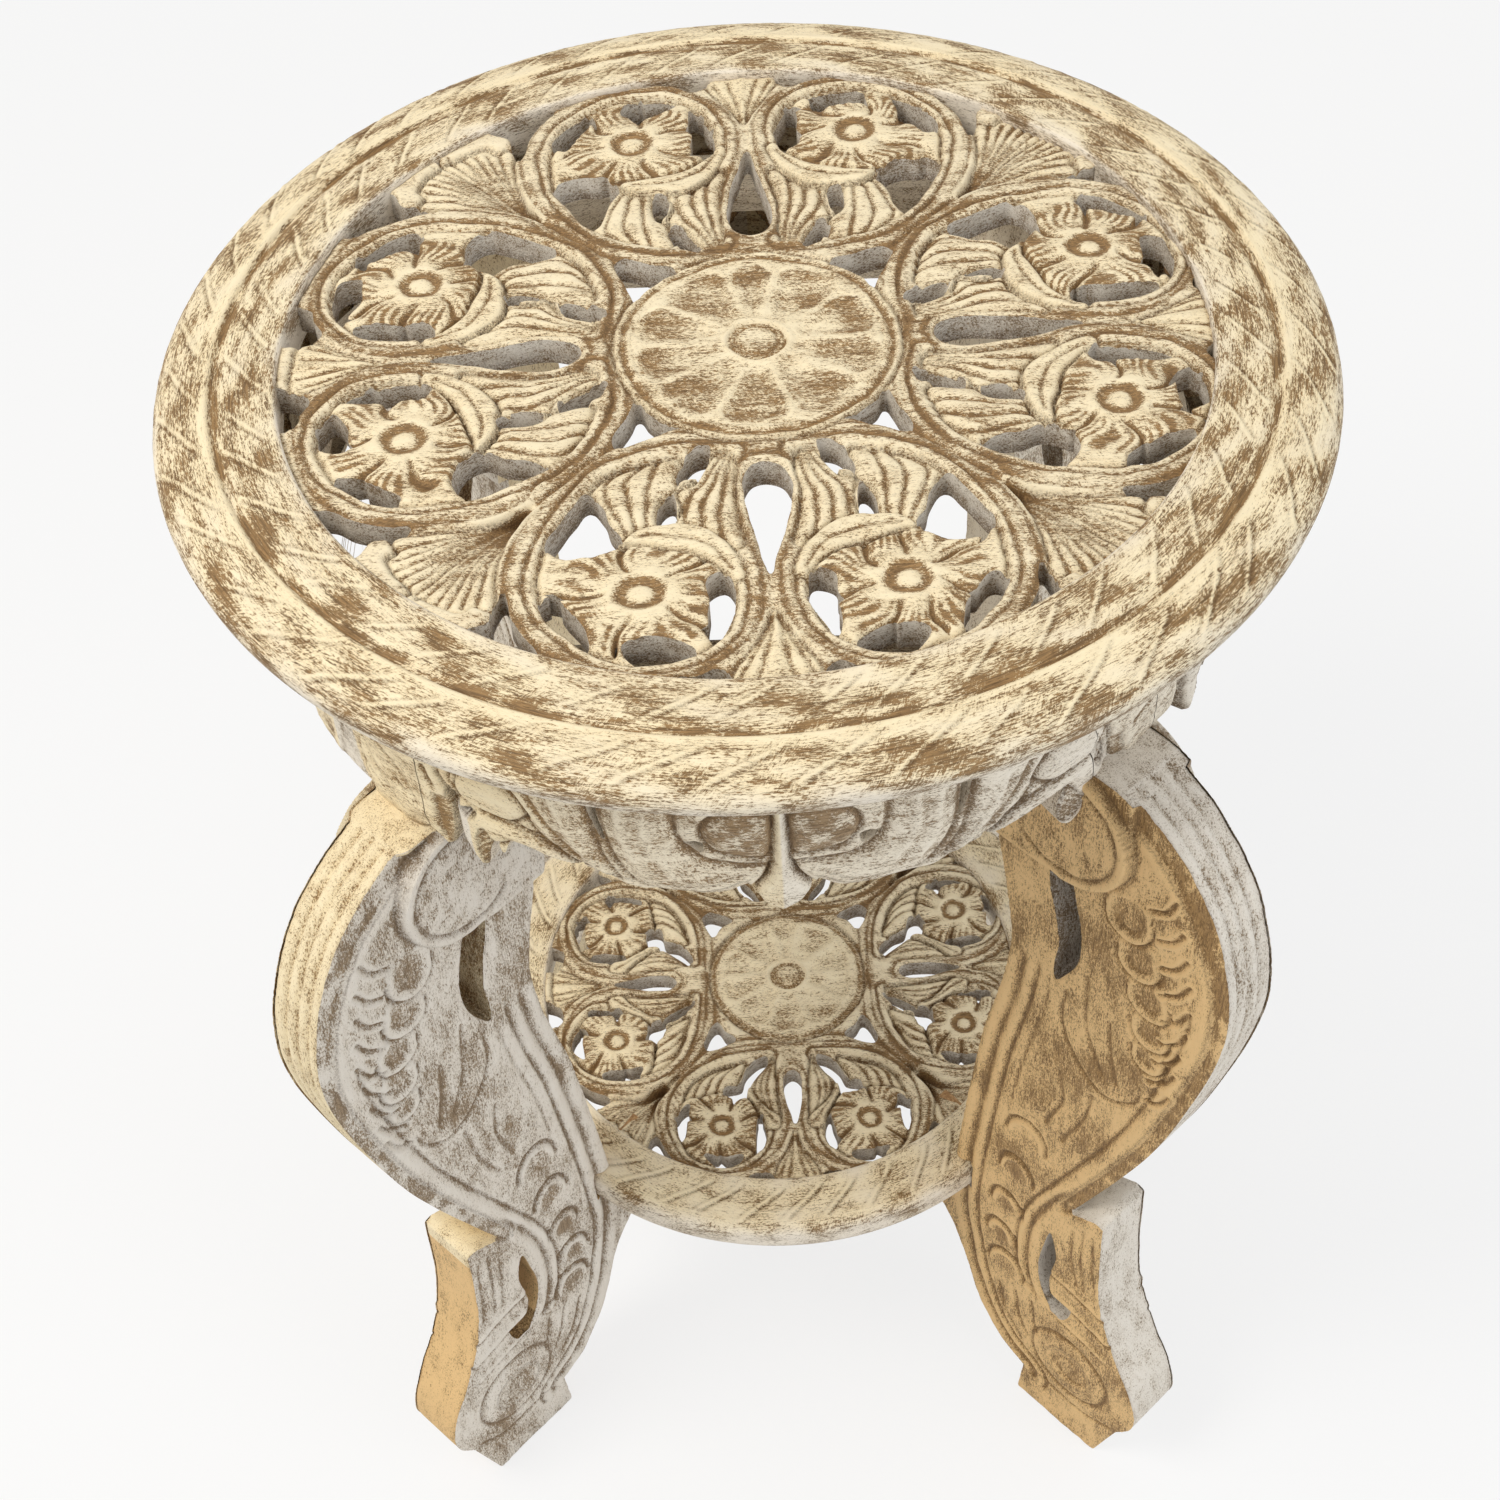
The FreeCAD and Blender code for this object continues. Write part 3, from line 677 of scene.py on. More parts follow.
def fretwork(name, node, heart, radius, top, thick, seed):
    """A round pierced panel. a and b are mm across and along the heart that each point lies in."""
    rng = np.random.default_rng(seed)
    small = radius / RIM_IN
    k = max(small, 0.75)
    cell = 0.72 * (1 if small > 0.9 else 0.8)
    line = np.linspace(-radius - 1.5, radius + 1.5, int(2 * (radius + 2) / cell))
    X, Y = np.meshgrid(line, line)

    def noise(size, number):
        return wobble(X, Y, size, seed + number)

    wx = X + 0.7 * small * noise(45, 0) + 0.25 * noise(13, 1) - heart["shift"]
    wy = Y + 0.7 * small * noise(45, 2) + 0.25 * noise(13, 3)
    turn = math.radians(heart["turn"])
    px = wx * math.cos(turn) + wy * math.sin(turn)
    py = wy * math.cos(turn) - wx * math.sin(turn)
    quarter = np.round((np.degrees(np.arctan2(py, px)) + 90) / 90).astype(int) % 4
    heading = np.radians(-90 + 90 * quarter)
    b = px * np.cos(heading) + py * np.sin(heading)
    side = -px * np.sin(heading) + py * np.cos(heading)
    a = np.abs(side)
    which = quarter * 2 + (side > 0)

    gap = pierced(9.0, a, b, heart["gaps"] + [heart["drop"], heart["corner"]])
    field = np.minimum(gap - 0.7 * k, radius + 0.4 - np.hypot(X, Y))

    # the scroll's stem: a fillet, a cut line and a rounded band
    do = np.abs(distance(a, b, smooth(heart["outer"]), 15))
    di = np.abs(distance(a, b, smooth(heart["inner"]), 15))
    h = 1.3 * (1 - (2 * do / np.maximum(do + di, 0.1) - 1) ** 2) - 0.3
    hatch = np.sin((X * 0.8 + Y * 0.6) * 2.5 + 1.5 * noise(20, 8))
    worn = 0.15 + 0.9 * bell(di - 4.8 * k, 1.3 * k) + (0.35 + 0.4 * hatch) * bell(di - 2.0 * k, 1.9 * k)
    worn += (1.1 + 0.7 * noise(24, 16)) * bell(do - 2.8 * k, 2.0 * k)
    dark = 0.5 * bell(di - 4.3 * k, 0.6) + 0.25 * bell(do - 2.4 * k, 0.6)
    f = Relief(a, b, h, worn, dark, 0.75)
    f.cut(di - 4.3 * k, 1.3, 0.8 * k)
    f.cut(do - 2.4 * k, 0.8, 0.6)
    f.cut(do - 5.2 * k, 0.35, 0.5)
    joined = b > max(q[1] for q in heart["corner"]) - 2
    f.cut((a - b) / math.sqrt(2), 1.6, 1.1, 0.8, 2.5, keep=joined)

    def lay(points, level, rub, tint, cut=1.7):
        sd = f.inside(points, 10)
        f.fill(sd > 0, level, rub, tint)
        f.cut(sd, cut, 0.95, stain_and_shade=0.9 * (gap > 0.8), line=0.5)
        return sd

    def veins(edges, shares, depth, width):
        for vein in between(edges[0], edges[1], shares):
            d = distance(a, b, vein, 5)
            f.cut(d, depth, width, 0.5 * depth, stain_and_shade=0.5 * depth, line=width * 0.5)
            f.worn -= 0.3 * bell(np.abs(d) - width * 2.6, width)

    lay(heart["fan"], -0.9 + 0.7 * ease(f.inside(heart["fan"]) / 8), 0.3, 0.8)
    veins(heart["fan_edges"], (0.16, 0.33, 0.5, 0.66, 0.83), 1.25, 0.95)
    veins(heart["fan_edges"], (0.25, 0.75), 0.25, 0.45)
    for points, edges in heart["leaves"]:
        lay(points, -1.6 + 1.5 * ease(f.inside(points) / (6 * k)), 0.3, 0.8, 1.4)
        veins(edges, (0.12, 0.4, 0.7), 1.2, 0.85)

    # flowers, each cut a little differently
    fa, fb, reach, boss = heart["flower"]
    fa = fa + rng.uniform(-0.8, 0.8, 8)[which] * small
    fb = fb + rng.uniform(-0.8, 0.8, 8)[which] * small
    rho = np.hypot(side * np.sign(side) - fa, b - fb)
    phi = np.arctan2(b - fb, side - fa * np.sign(side))
    lobes = rng.integers(5, 8, 8)[which]
    start = rng.uniform(0, 6.3, 8)[which]
    swirl = phi + 0.25 * noise(30, 14)
    petal = np.abs((((lobes * swirl + start) / (2 * math.pi) + 0.5) % 1) - 0.5) / lobes * 2 * math.pi * rho
    seam = petal - math.pi / lobes * rho
    rays = np.cos((lobes * 5) * swirl + start * 5 + 1.2 * noise(14, 9))
    off = ease((rho - boss * 1.35) / 3) * ease((reach * 1.05 - rho) / 3)
    outer_part = ease((rho - reach * 0.42) / (reach * 0.3))
    crown = 0.5 + 0.5 * (1 - (rho / reach) ** 2)
    crown -= off * (1.5 * bell(seam, 1.1) + 0.3 * (0.5 - 0.5 * rays) * outer_part)
    crown = crown - 1.1 * outer_part * bell(seam, 3.0 * k) + 0.35 * off * bell(petal, 1.3)
    crown += 0.5 * bell(rho - boss * 1.45, boss * 0.3) - 1.2 * bell(rho - boss * 0.8, boss * 0.3)
    spokes = np.clip(1.8 * rays + 0.3, -1, 1)
    rub = 0.1 + off * (0.9 * bell(seam, 1.4) + outer_part * (0.9 - 0.7 * small * spokes))
    rub += 1.9 * bell(rho - boss * 0.95, boss * 0.32) - 0.6 * bell(rho - boss * 1.5, boss * 0.3)
    sd = lay(heart["petals"], crown, rub - 0.4 * (rho < boss * 0.5), 0.85, 1.9)
    f.stain_and_shade(0.6 * off * bell(seam, 0.5) * (sd > 0))
    field = field - 2.4 * k * bell(seam, 1.5 * k) * ((sd > -1) & (rho > reach * 0.5))
    lay(heart["curl"], 0.55 - 0.5 * bell(di, 2.5), 0.05, 0.85, 1.5)
    f.cut(f.beside(heart["curl_line"]), 0.9, 0.8, 0.6, 1.0, 0.5, 0.45)
    tip = lay(heart["tip"], -0.2, 0.3, 0.9, 1.3)
    veins(heart["tip_edges"], (0.0, 0.5), 0.9, 0.8)
    f.h += 0.5 * bell(a, 1.5) * (tip > 0)

    # the rosette in the middle
    edge, ring_in, groove, petal_end, petal_in, knob, knob_in = heart["rosette"]
    r = np.hypot(px, py)
    ang = np.arctan2(py, px)
    aside = np.full(a.shape, 99.0)
    for cut_angle in ROSE_CUTS:
        turn_by = (ang - math.radians(cut_angle) + math.pi) % (2 * math.pi) - math.pi
        aside = np.minimum(aside, np.where(np.abs(turn_by) < 1.4, r * np.sin(np.abs(turn_by)), 99))
    far_end = petal_end - 6.5 * small * (1 - np.clip(aside / (8.5 * small), 0, 1)) ** 2
    cup = np.minimum(np.minimum(aside - 0.9 * k, far_end - r), r - petal_in)
    level = 0.1 - 1.3 * ease(cup / (4.0 * small)) + 0.2 * noise(10, 20)
    level = level - 0.5 * bell(cup - 0.3, 0.9) - 1.5 * bell(r - groove, 1.3) - 0.5 * bell(r - ring_in, 0.6)
    level += 0.12 * np.sin((X * 0.6 - Y * 0.8) * 3.1 + 2 * noise(15, 21)) * (cup > 0.5)
    level = np.where(r < knob, -0.2 + 0.7 * ease((knob - r) / 4), level)
    level = level - 1.2 * (bell(r - knob_in, 0.8) + bell(r - knob, 0.7)) + 0.4 * bell(r - knob * 1.13, 1.0)
    rub = -0.1 + (1.8 * small - 0.8) * ease(cup / 0.9) * (0.35 + 0.65 * ease((r / small - 18) / 14))
    rub += 1.3 * bell(r - groove, 2.4 * k) - 0.3 * bell(r - knob * 1.13, 1.5)
    rub += 0.35 * (cup > 0.5) * noise(16 * small, 22)
    rub = np.where(r < knob, 1.0 - 0.5 * ease((knob_in * 0.75 - r) / 2), rub)
    f.fill(r < edge, level, rub, 0.8)
    f.cut(edge - r, 2.0, 1.0, stain_and_shade=0.8)

    f.h += 0.16 * noise(8, 30) + 0.3 * noise(30, 31)
    f.round_edge(field, 1.1, 1.6)
    f.rub(field, 2.6 / cell, 0.6, 0.75)
    slab(name, node, wood_top, X, Y, field, f, top + f.h, top - thick, flat_place, wall_worn=0.45)


fretwork("top_fretwork_carved", "top_fretwork", TOP_HEART, RIM_IN, 511.6, 11.1, 11)
fretwork("shelf_fretwork_carved", "shelf_fretwork", SHELF_HEART, SHELF_IN, 147.2, 10.2, 12)
ring("shelf_rim_carved", "shelf_rim", [
    (SHELF_IN, SHELF_UNDER, 0.1, 0, 0.2), (SHELF_IN, 148, 0.1, 0, 0.3), (106, 149, 0.1, 0.4, 0.7),
    (112, 149, 0.1, 1, 0.8), (120, 148.9, 0.1, 1, 0.8), (126, 148.5, 0.1, 0.8, 0.8),
    (128.6, 147, 0.3, 0.2, 0.5), (SHELF_OUT, 144.5, 0.3, 0, 0.2), (SHELF_OUT, 137, 0.3, 0, 0.1),
    (129, 134.3, 0.3, 0, 0.1), (127, SHELF_UNDER, 0.4, 0, 0.2), (116, SHELF_UNDER, 0.6, 0, 0.2),
    (SHELF_IN, SHELF_UNDER, 0.6, 0, 0.2)], 44, [(17, 38, 117, -20)], 5)


# aprons: each is drawn in the half from its middle, in mm along the curve and mm under the table top

APRON_EDGE = pts("0,91.5 3,90.5 5.5,88 9,82.5 12,81.5 18,85.5 26,87.8 37,87.8 48,86.5 57,84 67,80.5 78,78 "
                 "88,77 91,81 93.5,87 95.5,83 97,80 99,88 101.5,97 104.5,95 106.5,90.5 109,90 126,90")
APRON_EYE = pts("24,62 26,60 29,60.5 31,62.5 28,65 25,66")
APRON_SLIT = pts("56,66 57,56 57.5,44 58.5,36 61,36 61,46 60,56 58,63")
LOBE = pts("2,50 9,46 17,46 22.5,49.5 24.5,56 21.5,63 13,66.5 3,66")
CRESCENT = pts("34,20 46,24 55,34 56.5,48 55,66 50,79 42,86 30,88 16,86.5 7,80 4,72 14,71 24,69 31,62 33,50 "
               "32,36")
FROND = pts("62,20 74,21 84,28 90,40 86,56 78,70 66,79 52,84 57,72 60,58 62,40")
OVAL = pts("81.5,61 85,54.5 93,51 102,51 109,54 110.5,59 105,65.5 96,68 87,67.5")
HOOK_TAIL = pts("66,81 76,73 86,69.5 96,69 103,66.5 107,63.5 109.5,68 109.5,77 108,87 104.5,94.5 101.5,97.5 "
                "99,90 96.5,83 91.5,80 84,78 74,80.5")
FORK = pts("95.5,82 96.8,77 99,75 101.5,78.5 102,86 101.3,94.5 98.6,88")
CRESCENT_VEINS = (pts("31,56 36,62"), pts("40,28 42,46 41,62 34,76"),
                  pts("48,30 50,48 48,66 42,80"))
FROND_VEINS = (pts("70,24 72,44 68,62 60,76"), pts("78,26 81,44 76,60 66,74"),
               pts("84,40 81,56 73,68"))
OVAL_RIDGE = pts("85,61 94,56 104,56.5")
# half the width of the stem in the middle, at some depths
STEM_DEPTHS = [18, 60, 70, 76, 80, 84, 88, 90.5, 93]
STEM_WIDTHS = [2.8, 2.3, 2.8, 4.4, 7.6, 10.4, 9.4, 5.6, 0.5]
# the hook at the right end of the front apron
RIGHT_EDGE = APRON_EDGE[:12] + pts("88,76.5 93,75.5 95.8,75 94.2,79 92.8,84 92.6,89 94.5,93.5 97.5,94.8 "
                                   "101.5,93 105.5,89 110,88 126,88")
RIGHT_TAIL = pts("66,81 76,73 86,69.5 96,68 103,66 107,63.5 110.5,68 110.5,78 107,87 102,93 97.5,95.5 "
                 "93.5,94 91.8,89 92.2,84 93.8,79 95.5,75.3 90.5,76 84,77.5 74,80.5")
RIGHT_FORK = pts("96,76 94,81 92.8,86 93,90 95,91.5 98.5,89.5 101.5,82.5 99,78.5")
# crests over the necks of the legs: in mm along the curve from the leg and mm under the table top
CREST = {
    "plate": pts("-20.5,50 -21,60 -20.5,70 -18.5,84 -15,92 -9,98 6,98 13,92 18,94 22.5,95.5 25.5,88 26.5,76 "
                 "25.5,66 22,58 21,50"),
    "brown": pts("20.5,70 26.8,70 26.5,78 25.5,88 22.5,95 20,86"),
    "cuts": [(pts("-17,70 -12,78 -5,84"), 1.6), (pts("17,58 20,66"), 1.3), (pts("3,74 7,77"), 1.0),
             (pts("20.3,70 20,82 21,92"), 1.0), (pts("-6,60 4,66 12,80"), 0.5),
             (pts("-14,60 -8,72 2,86"), 0.4), (pts("30.5,54 30,68"), 1.6)],
    "pits": [(26.5, 67, 1.6, 3.6), (34, 70.5, 3, 2)],
}
CREST_RIGHT = {
    "plate": pts("-6,50 -6.5,62 -5.5,72 -3,84 -0.5,92 3,95.5 6.5,92 9,84 18,82 27,81.5 31,78 31.5,66 31,50"),
    "brown": pts("-6.5,66 -1.8,66 0,80 0,90 -2,88 -5,78"),
    "cuts": [(pts("10,80 20,79.5 30,80"), 1.8), (pts("4,64 12,61"), 1.4), (pts("2,74 14,70 26,72"), 0.5),
             (pts("-1.6,66 0.3,80 1,92"), 1.0), (pts("16,56 24,62"), 0.5)],
    "pits": [(-11.5, 69, 2.4, 3.5), (7, 82, 2.5, 2)],
}


def flipped(points):
    """The same points on the other side of the leg."""
    return [(-x, y) for x, y in points]


CREST_BACK = {"plate": flipped(CREST["plate"]), "brown": flipped(CREST["brown"]),
              "cuts": [(flipped(line), depth) for line, depth in CREST["cuts"]],
              "pits": [(-x, y, wide, tall) for x, y, wide, tall in CREST["pits"]]}
CRESTS = {"leg_front_left": (CREST, 0.9), "leg_front_right": (CREST_RIGHT, 0.3),
          "leg_back_right": (CREST_BACK, 0.4), "leg_back_left": (CREST, 0.6)}
# the paint tone at four places along each apron
APRON_TINTS = {"apron_front": (1.1, 0.25, 0.0, -0.3), "apron_right": (-0.2, -0.2, 0.1, 0.2),
               "apron_back": (0.2, 0.2, 0.2, 0.2), "apron_left": (0.3, 0.3, 0.3, 0.5)}
APRON_FACE = 13.0
APRON_HALF = 118.0
APRON_LINE = 174.0
APRON_DEPTH = 101.0
PLAIN_END = (-52, -14)
ARC = math.radians(1) * APRON_LINE


def turned_from(angle, middle):
    """Mm along the curve from one angle to another, the short way round."""
    return ((angle - middle + 180) % 360 - 180) * ARC


def apron_carving(G, Z, seed):
    """Outline and relief of the aprons and of the crests between them. G is mm along the whole curve."""
    def noise(size, number):
        return wobble(G, Z, size, seed + number)

    angle = G / ARC
    A = np.full(G.shape, 400.0)
    along = np.zeros(G.shape)
    tint = np.zeros(G.shape)
    hooked = np.zeros(G.shape, bool)
    for node, (_, middle, _, left, right) in APRONS.items():
        x = turned_from(angle, middle)
        share = np.where(x > 0, x / right, x / left)
        near = np.abs(share) * APRON_HALF < A
        A = np.where(near, np.abs(share) * APRON_HALF, A)
        along = np.where(near, share, along)
        tint = np.where(near, 0.3 + np.interp(share, [-1, -0.6, 0.3, 1], APRON_TINTS[node]), tint)
        hooked = np.where(near, (x > 0) & (node == "apron_front"), hooked)
    A = np.abs(A + 0.5 * noise(30, 0))
    D = TOP - Z + 0.5 * noise(26, 1)

    def either(one, two, reach):
        return np.where(hooked, distance(A, D, two, reach, True), distance(A, D, one, reach, True))

    above = pts("140,90 140,-20 -20,-20 -20,91.5")
    field = either(np.vstack([smooth(APRON_EDGE), above]), np.vstack([smooth(RIGHT_EDGE), above]), 20)
    edge = np.minimum(np.abs(field), 14)
    field = pierced(field, A, D, (APRON_EYE, APRON_SLIT))
    face = APRON_FACE
    r = Relief(A, D, face - 0.8 + 0.4 * noise(24, 2), 0.2 + 0.4 * noise(22, 3), tint=tint)

    def lay(sd, low, rise, reach, rub, cut=1.5, width=0.95):
        """Fills where sd > 0 with a rounded form, from low under the face up by rise over reach mm."""
        r.fill(sd > 0, face - low + rise * ease(sd / reach), rub)
        r.cut(sd, cut, width, 0.6, width * 1.8, 0.8, 0.7)
        return sd

    def vein(line, rise=0.7):
        d = r.beside(line, 8)
        r.h += 0.6 * rise * bell(d, 1.0) - 0.35 * rise * bell(d + 3.0, 1.6)
        r.worn = r.worn - 0.4 * bell(d, 1.1) + 0.2 * bell(d + 3.0, 1.5)

    lay(r.inside(CRESCENT), 0.9, 1.6, 9, 0.25, 1.6, 1.4)
    for line in CRESCENT_VEINS:
        vein(line)
    lay(r.inside(FROND), 0.8, 1.5, 7, 0.3, 1.4, 1.2)
    vein(FROND_VEINS[0])
    r.cut(r.beside(FROND_VEINS[1], 8), 1.3, 1.2, 0.8, 1.8)
    vein(FROND_VEINS[2], 0.5)
    lay(r.inside(LOBE), 0.6, 1.5, 7, 1.5 + 0.8 * noise(7, 9), 1.8)
    border = (A > 11) * (A < 90)
    r.h -= 0.8 * ease((4.2 - edge) / 2.2) * border
    r.stain_and_shade(0.8 * bell(edge - 3.4, 0.6) * border)
    r.cut(edge - 6.2, 0.5, 0.5, stain_and_shade=0.35, line=0.4, keep=border)
    r.worn = np.where((edge < 3) & (A < 90), 0.0, r.worn)
    # painted shade: the gap beside the hook is a sunk floor toned cool grey and darkened, for the shade
    # between apron and leg
    gap = (A > 104) & (D > 68)
    r.h = np.where(gap, face - 6.5, r.h)
    r.tint = np.where(gap, 0.0, r.tint)
    r.dark = np.where(gap, 0.25, r.dark)
    lay(either(smooth(HOOK_TAIL, True), smooth(RIGHT_TAIL, True), 12), 0.2, 1.2, 5, 0.0)
    sd = either(smooth(FORK, True), smooth(RIGHT_FORK, True), 8)
    r.h = r.h - 1.6 * ease(sd / 1.5) + 0.25 * np.sin((A * 0.6 + D) * 2.6) * (sd > 0)
    r.worn = np.where(sd > 0, 1.1 + 0.6 * np.sin((A * 0.8 - D) * 1.9), r.worn)
    r.stain_and_shade(0.8 * bell(sd, 0.6))
    sd = lay(r.inside(OVAL), 0.4, 1.6, 5, 0.0, 1.9)
    r.h += 0.5 * bell(r.beside(OVAL_RIDGE, 8), 1.2) * (sd > 0)
    stem = np.interp(D, STEM_DEPTHS, STEM_WIDTHS) - A
    facet = ease((D - 74) / 6)
    r.fill(stem > 0, face - 0.6 + 1.6 * ease(stem / 4.5) + 0.8 * facet * bell(A, 1.3),
           0.1 + 0.4 * bell(A, 0.8) * facet, np.where(along < 0, 0.7, 0.15))
    r.cut(stem, 1.9, 1.0, stain_and_shade=0.9)
    r.worn += 0.5 * bell(stem + 1, 1.5)

    for node, (leg_angle, _) in LEGS.items():
        s = turned_from(angle, leg_angle)
        if np.abs(s).min() > 40:
            continue
        drawing, paint = CRESTS[node]
        sd = distance(s, D, smooth(drawing["plate"], True), 12, True)
        field = np.maximum(field, sd)
        rim = (D > 52) & ((np.abs(s) > 13.4) | (D < 84))
        r.fill(sd > 0, face - 0.3 + 1.5 * ease(sd / 9) + 0.35 * noise(16, 7), 0.15 + 0.3 * noise(14, 8),
               paint)
        r.cut(sd, 1.2, 1.0, stain_and_shade=0.8, line=0.7, keep=rim)
        brown = ease(distance(s, D, smooth(drawing["brown"], True), 8, True) / 1.5)
        r.worn += (1.6 + 0.4 * np.sin(D * 2.1)) * brown
        r.h -= 0.7 * brown
        for line, depth in drawing["cuts"]:
            r.cut(distance(s, D, smooth(line), 6), depth, 1.0, 0.5 * depth, 1.6, 0.55 * depth, 0.7)
        # each pit is sunk and darkened: painted shade in the hole
        for ps, pd, wide, tall in drawing["pits"]:
            d = np.hypot((s - ps) / wide, (D - pd) / tall)
            r.h -= 5.0 * ease((1.15 - d) / 0.4)
            r.stain_and_shade(ease((1.25 - d) / 0.3))
    # the plain end beside the front left leg
    beside = turned_from(angle, APRONS["apron_left"][2])
    plain = (beside > PLAIN_END[0]) & (beside < PLAIN_END[1])
    field = np.where(plain, np.minimum(np.maximum(field, 91 - D), 92 - D), field)
    r.h = np.where(plain, face - 0.5, r.h)
    r.dark = np.where(plain, 0, r.dark)
    field = np.minimum(field, RIM_UNDER + 0.3 - Z)
    r.rub(field, 5, 0.8, 0.7)
    r.h += 0.15 * noise(7, 5)
    r.round_edge(field, 0.8, 1.3)
    return field, r


def curved_board(name, node, middle, before, after, behind):
    """A board on the curve of the aprons, from before to after mm of the angle middle."""
    cell = 0.75
    last = middle * ARC + after
    g = np.clip(np.arange(middle * ARC - before, last + cell, cell), None, last)
    G, Z = np.meshgrid(g, np.arange(TOP - APRON_DEPTH, RIM_UNDER + 1.0, cell))
    field, r = apron_carving(G, Z, 40)

    def place(points, heights):
        angle = points[:, 0] / APRON_LINE
        radius = APRON_IN + heights
        return np.stack([radius * np.cos(angle), radius * np.sin(angle), points[:, 1]], 1)

    slab(name, node, wood_apron, G, Z, field, r, np.minimum(r.h, APRON_FACE + 2.0), behind, place,
         wall_worn=0.2, wall_tint=0.25)


GAP = math.degrees(math.asin((POST + 0.1) / APRON_LINE)) * ARC
for node, (start, middle, end, *_) in APRONS.items():
    before, after = (middle - start) * ARC - GAP, (end - middle) * ARC - GAP
    curved_board(node + "_carved", node, middle, before, after, 0.0)
for node, (angle, lift) in LEGS.items():
    curved_board(node + "_crest", node, angle, GAP - 0.35, GAP - 0.35, 9.0)


# legs: drawn in radius from the table's axis and depth under the top, with the upper part lifted

KNEE = pts("170.5,94 183,94.7 192,98 205,106 216,117 226,133 233,153 236,175 234,197 228,224 218,260 "
           "207,290 189,331 181,348")
HOOK = pts("181,348 185,345.5 189,343 194,341 198,341.5")
TOE = pts("198,341.5 198.5,365 200,388 205,410 214,430 222,445 226,460 224.5,471 218,482")
SOLE = pts("165,492 152,484.5 140,470 133,455 127,438 119,422 110,411")
BACK = pts("121,366 123,345 127,310 132,272 139,238 142.5,212 141,192 137,172 132.5,150 131,125 132,100 "
           "137,70 144,45 147,18")
STEM = pts("189,331 181,348 176,360 171,375 168.5,393 170,412 177,428")
INNER = pts("165,492 152,484.5 140,470 131,450 124,425 120,400 120,380 121,366 123,345 127,310 132,272 "
            "139,238 142.5,212")
KNEE_SLIT = pts("158,151 166,151 170.5,165 174,182 173,196 168,207 164,212 163,203 164,192 162,178 "
                "158.5,165")
FOOT_SLIT = pts("173,372 177,386 175,400 175,411 181,417 187,417 185,426 178,428 170.5,415 168,400 170,385")
# the depths over which the lift of a leg falls from whole to none
LIFT_WHOLE = 150
LIFT_NONE = 460
LIFT_SPAN = LIFT_NONE - LIFT_WHOLE
EAR = (165, 122)
SCROLL = (190, 461)
SCALES = [(193, 154, 10.5), (199, 171, 10.0), (205, 188, 9.5), (207, 204, 8.5), (208, 218, 7.5)]
CUP = pts("169,214 168,228 172,241 181,252 193,257 203,250 207,240")
KNEE_CUTS = (pts("178,200 180,226 188,246"), pts("190,214 192,232 195,246"),
             pts("170,262 172,280 166,300"), pts("186,262 182,284 174,304"))
FOOT_CUTS = (pts("148,440 153,455 163,470"), pts("157,436 160,450 166,462"),
             pts("166,434 168,446 171,456"))
TOE_CUTS = (pts("189,352 190,374 192,394"), pts("184,358 185,376 188,394"),
            pts("194,352 196,374 198,394"))
# spots of bare wood: radius, depth, half width, half height, strength
BROWN = [(178, 172, 9, 14, 0.5), (186, 246, 14, 9, 0.6), (172, 222, 8, 16, 0.3), (196, 232, 7, 12, 0.3),
         (165, 285, 9, 12, 0.4), (157, 345, 8, 7, 0.5), (150, 372, 5, 9, 0.7), (150, 398, 5, 6, 0.6),
         (186, 462, 13, 12, 0.5), (150, 448, 6, 8, 0.4), (190, 372, 6, 12, 0.25)]


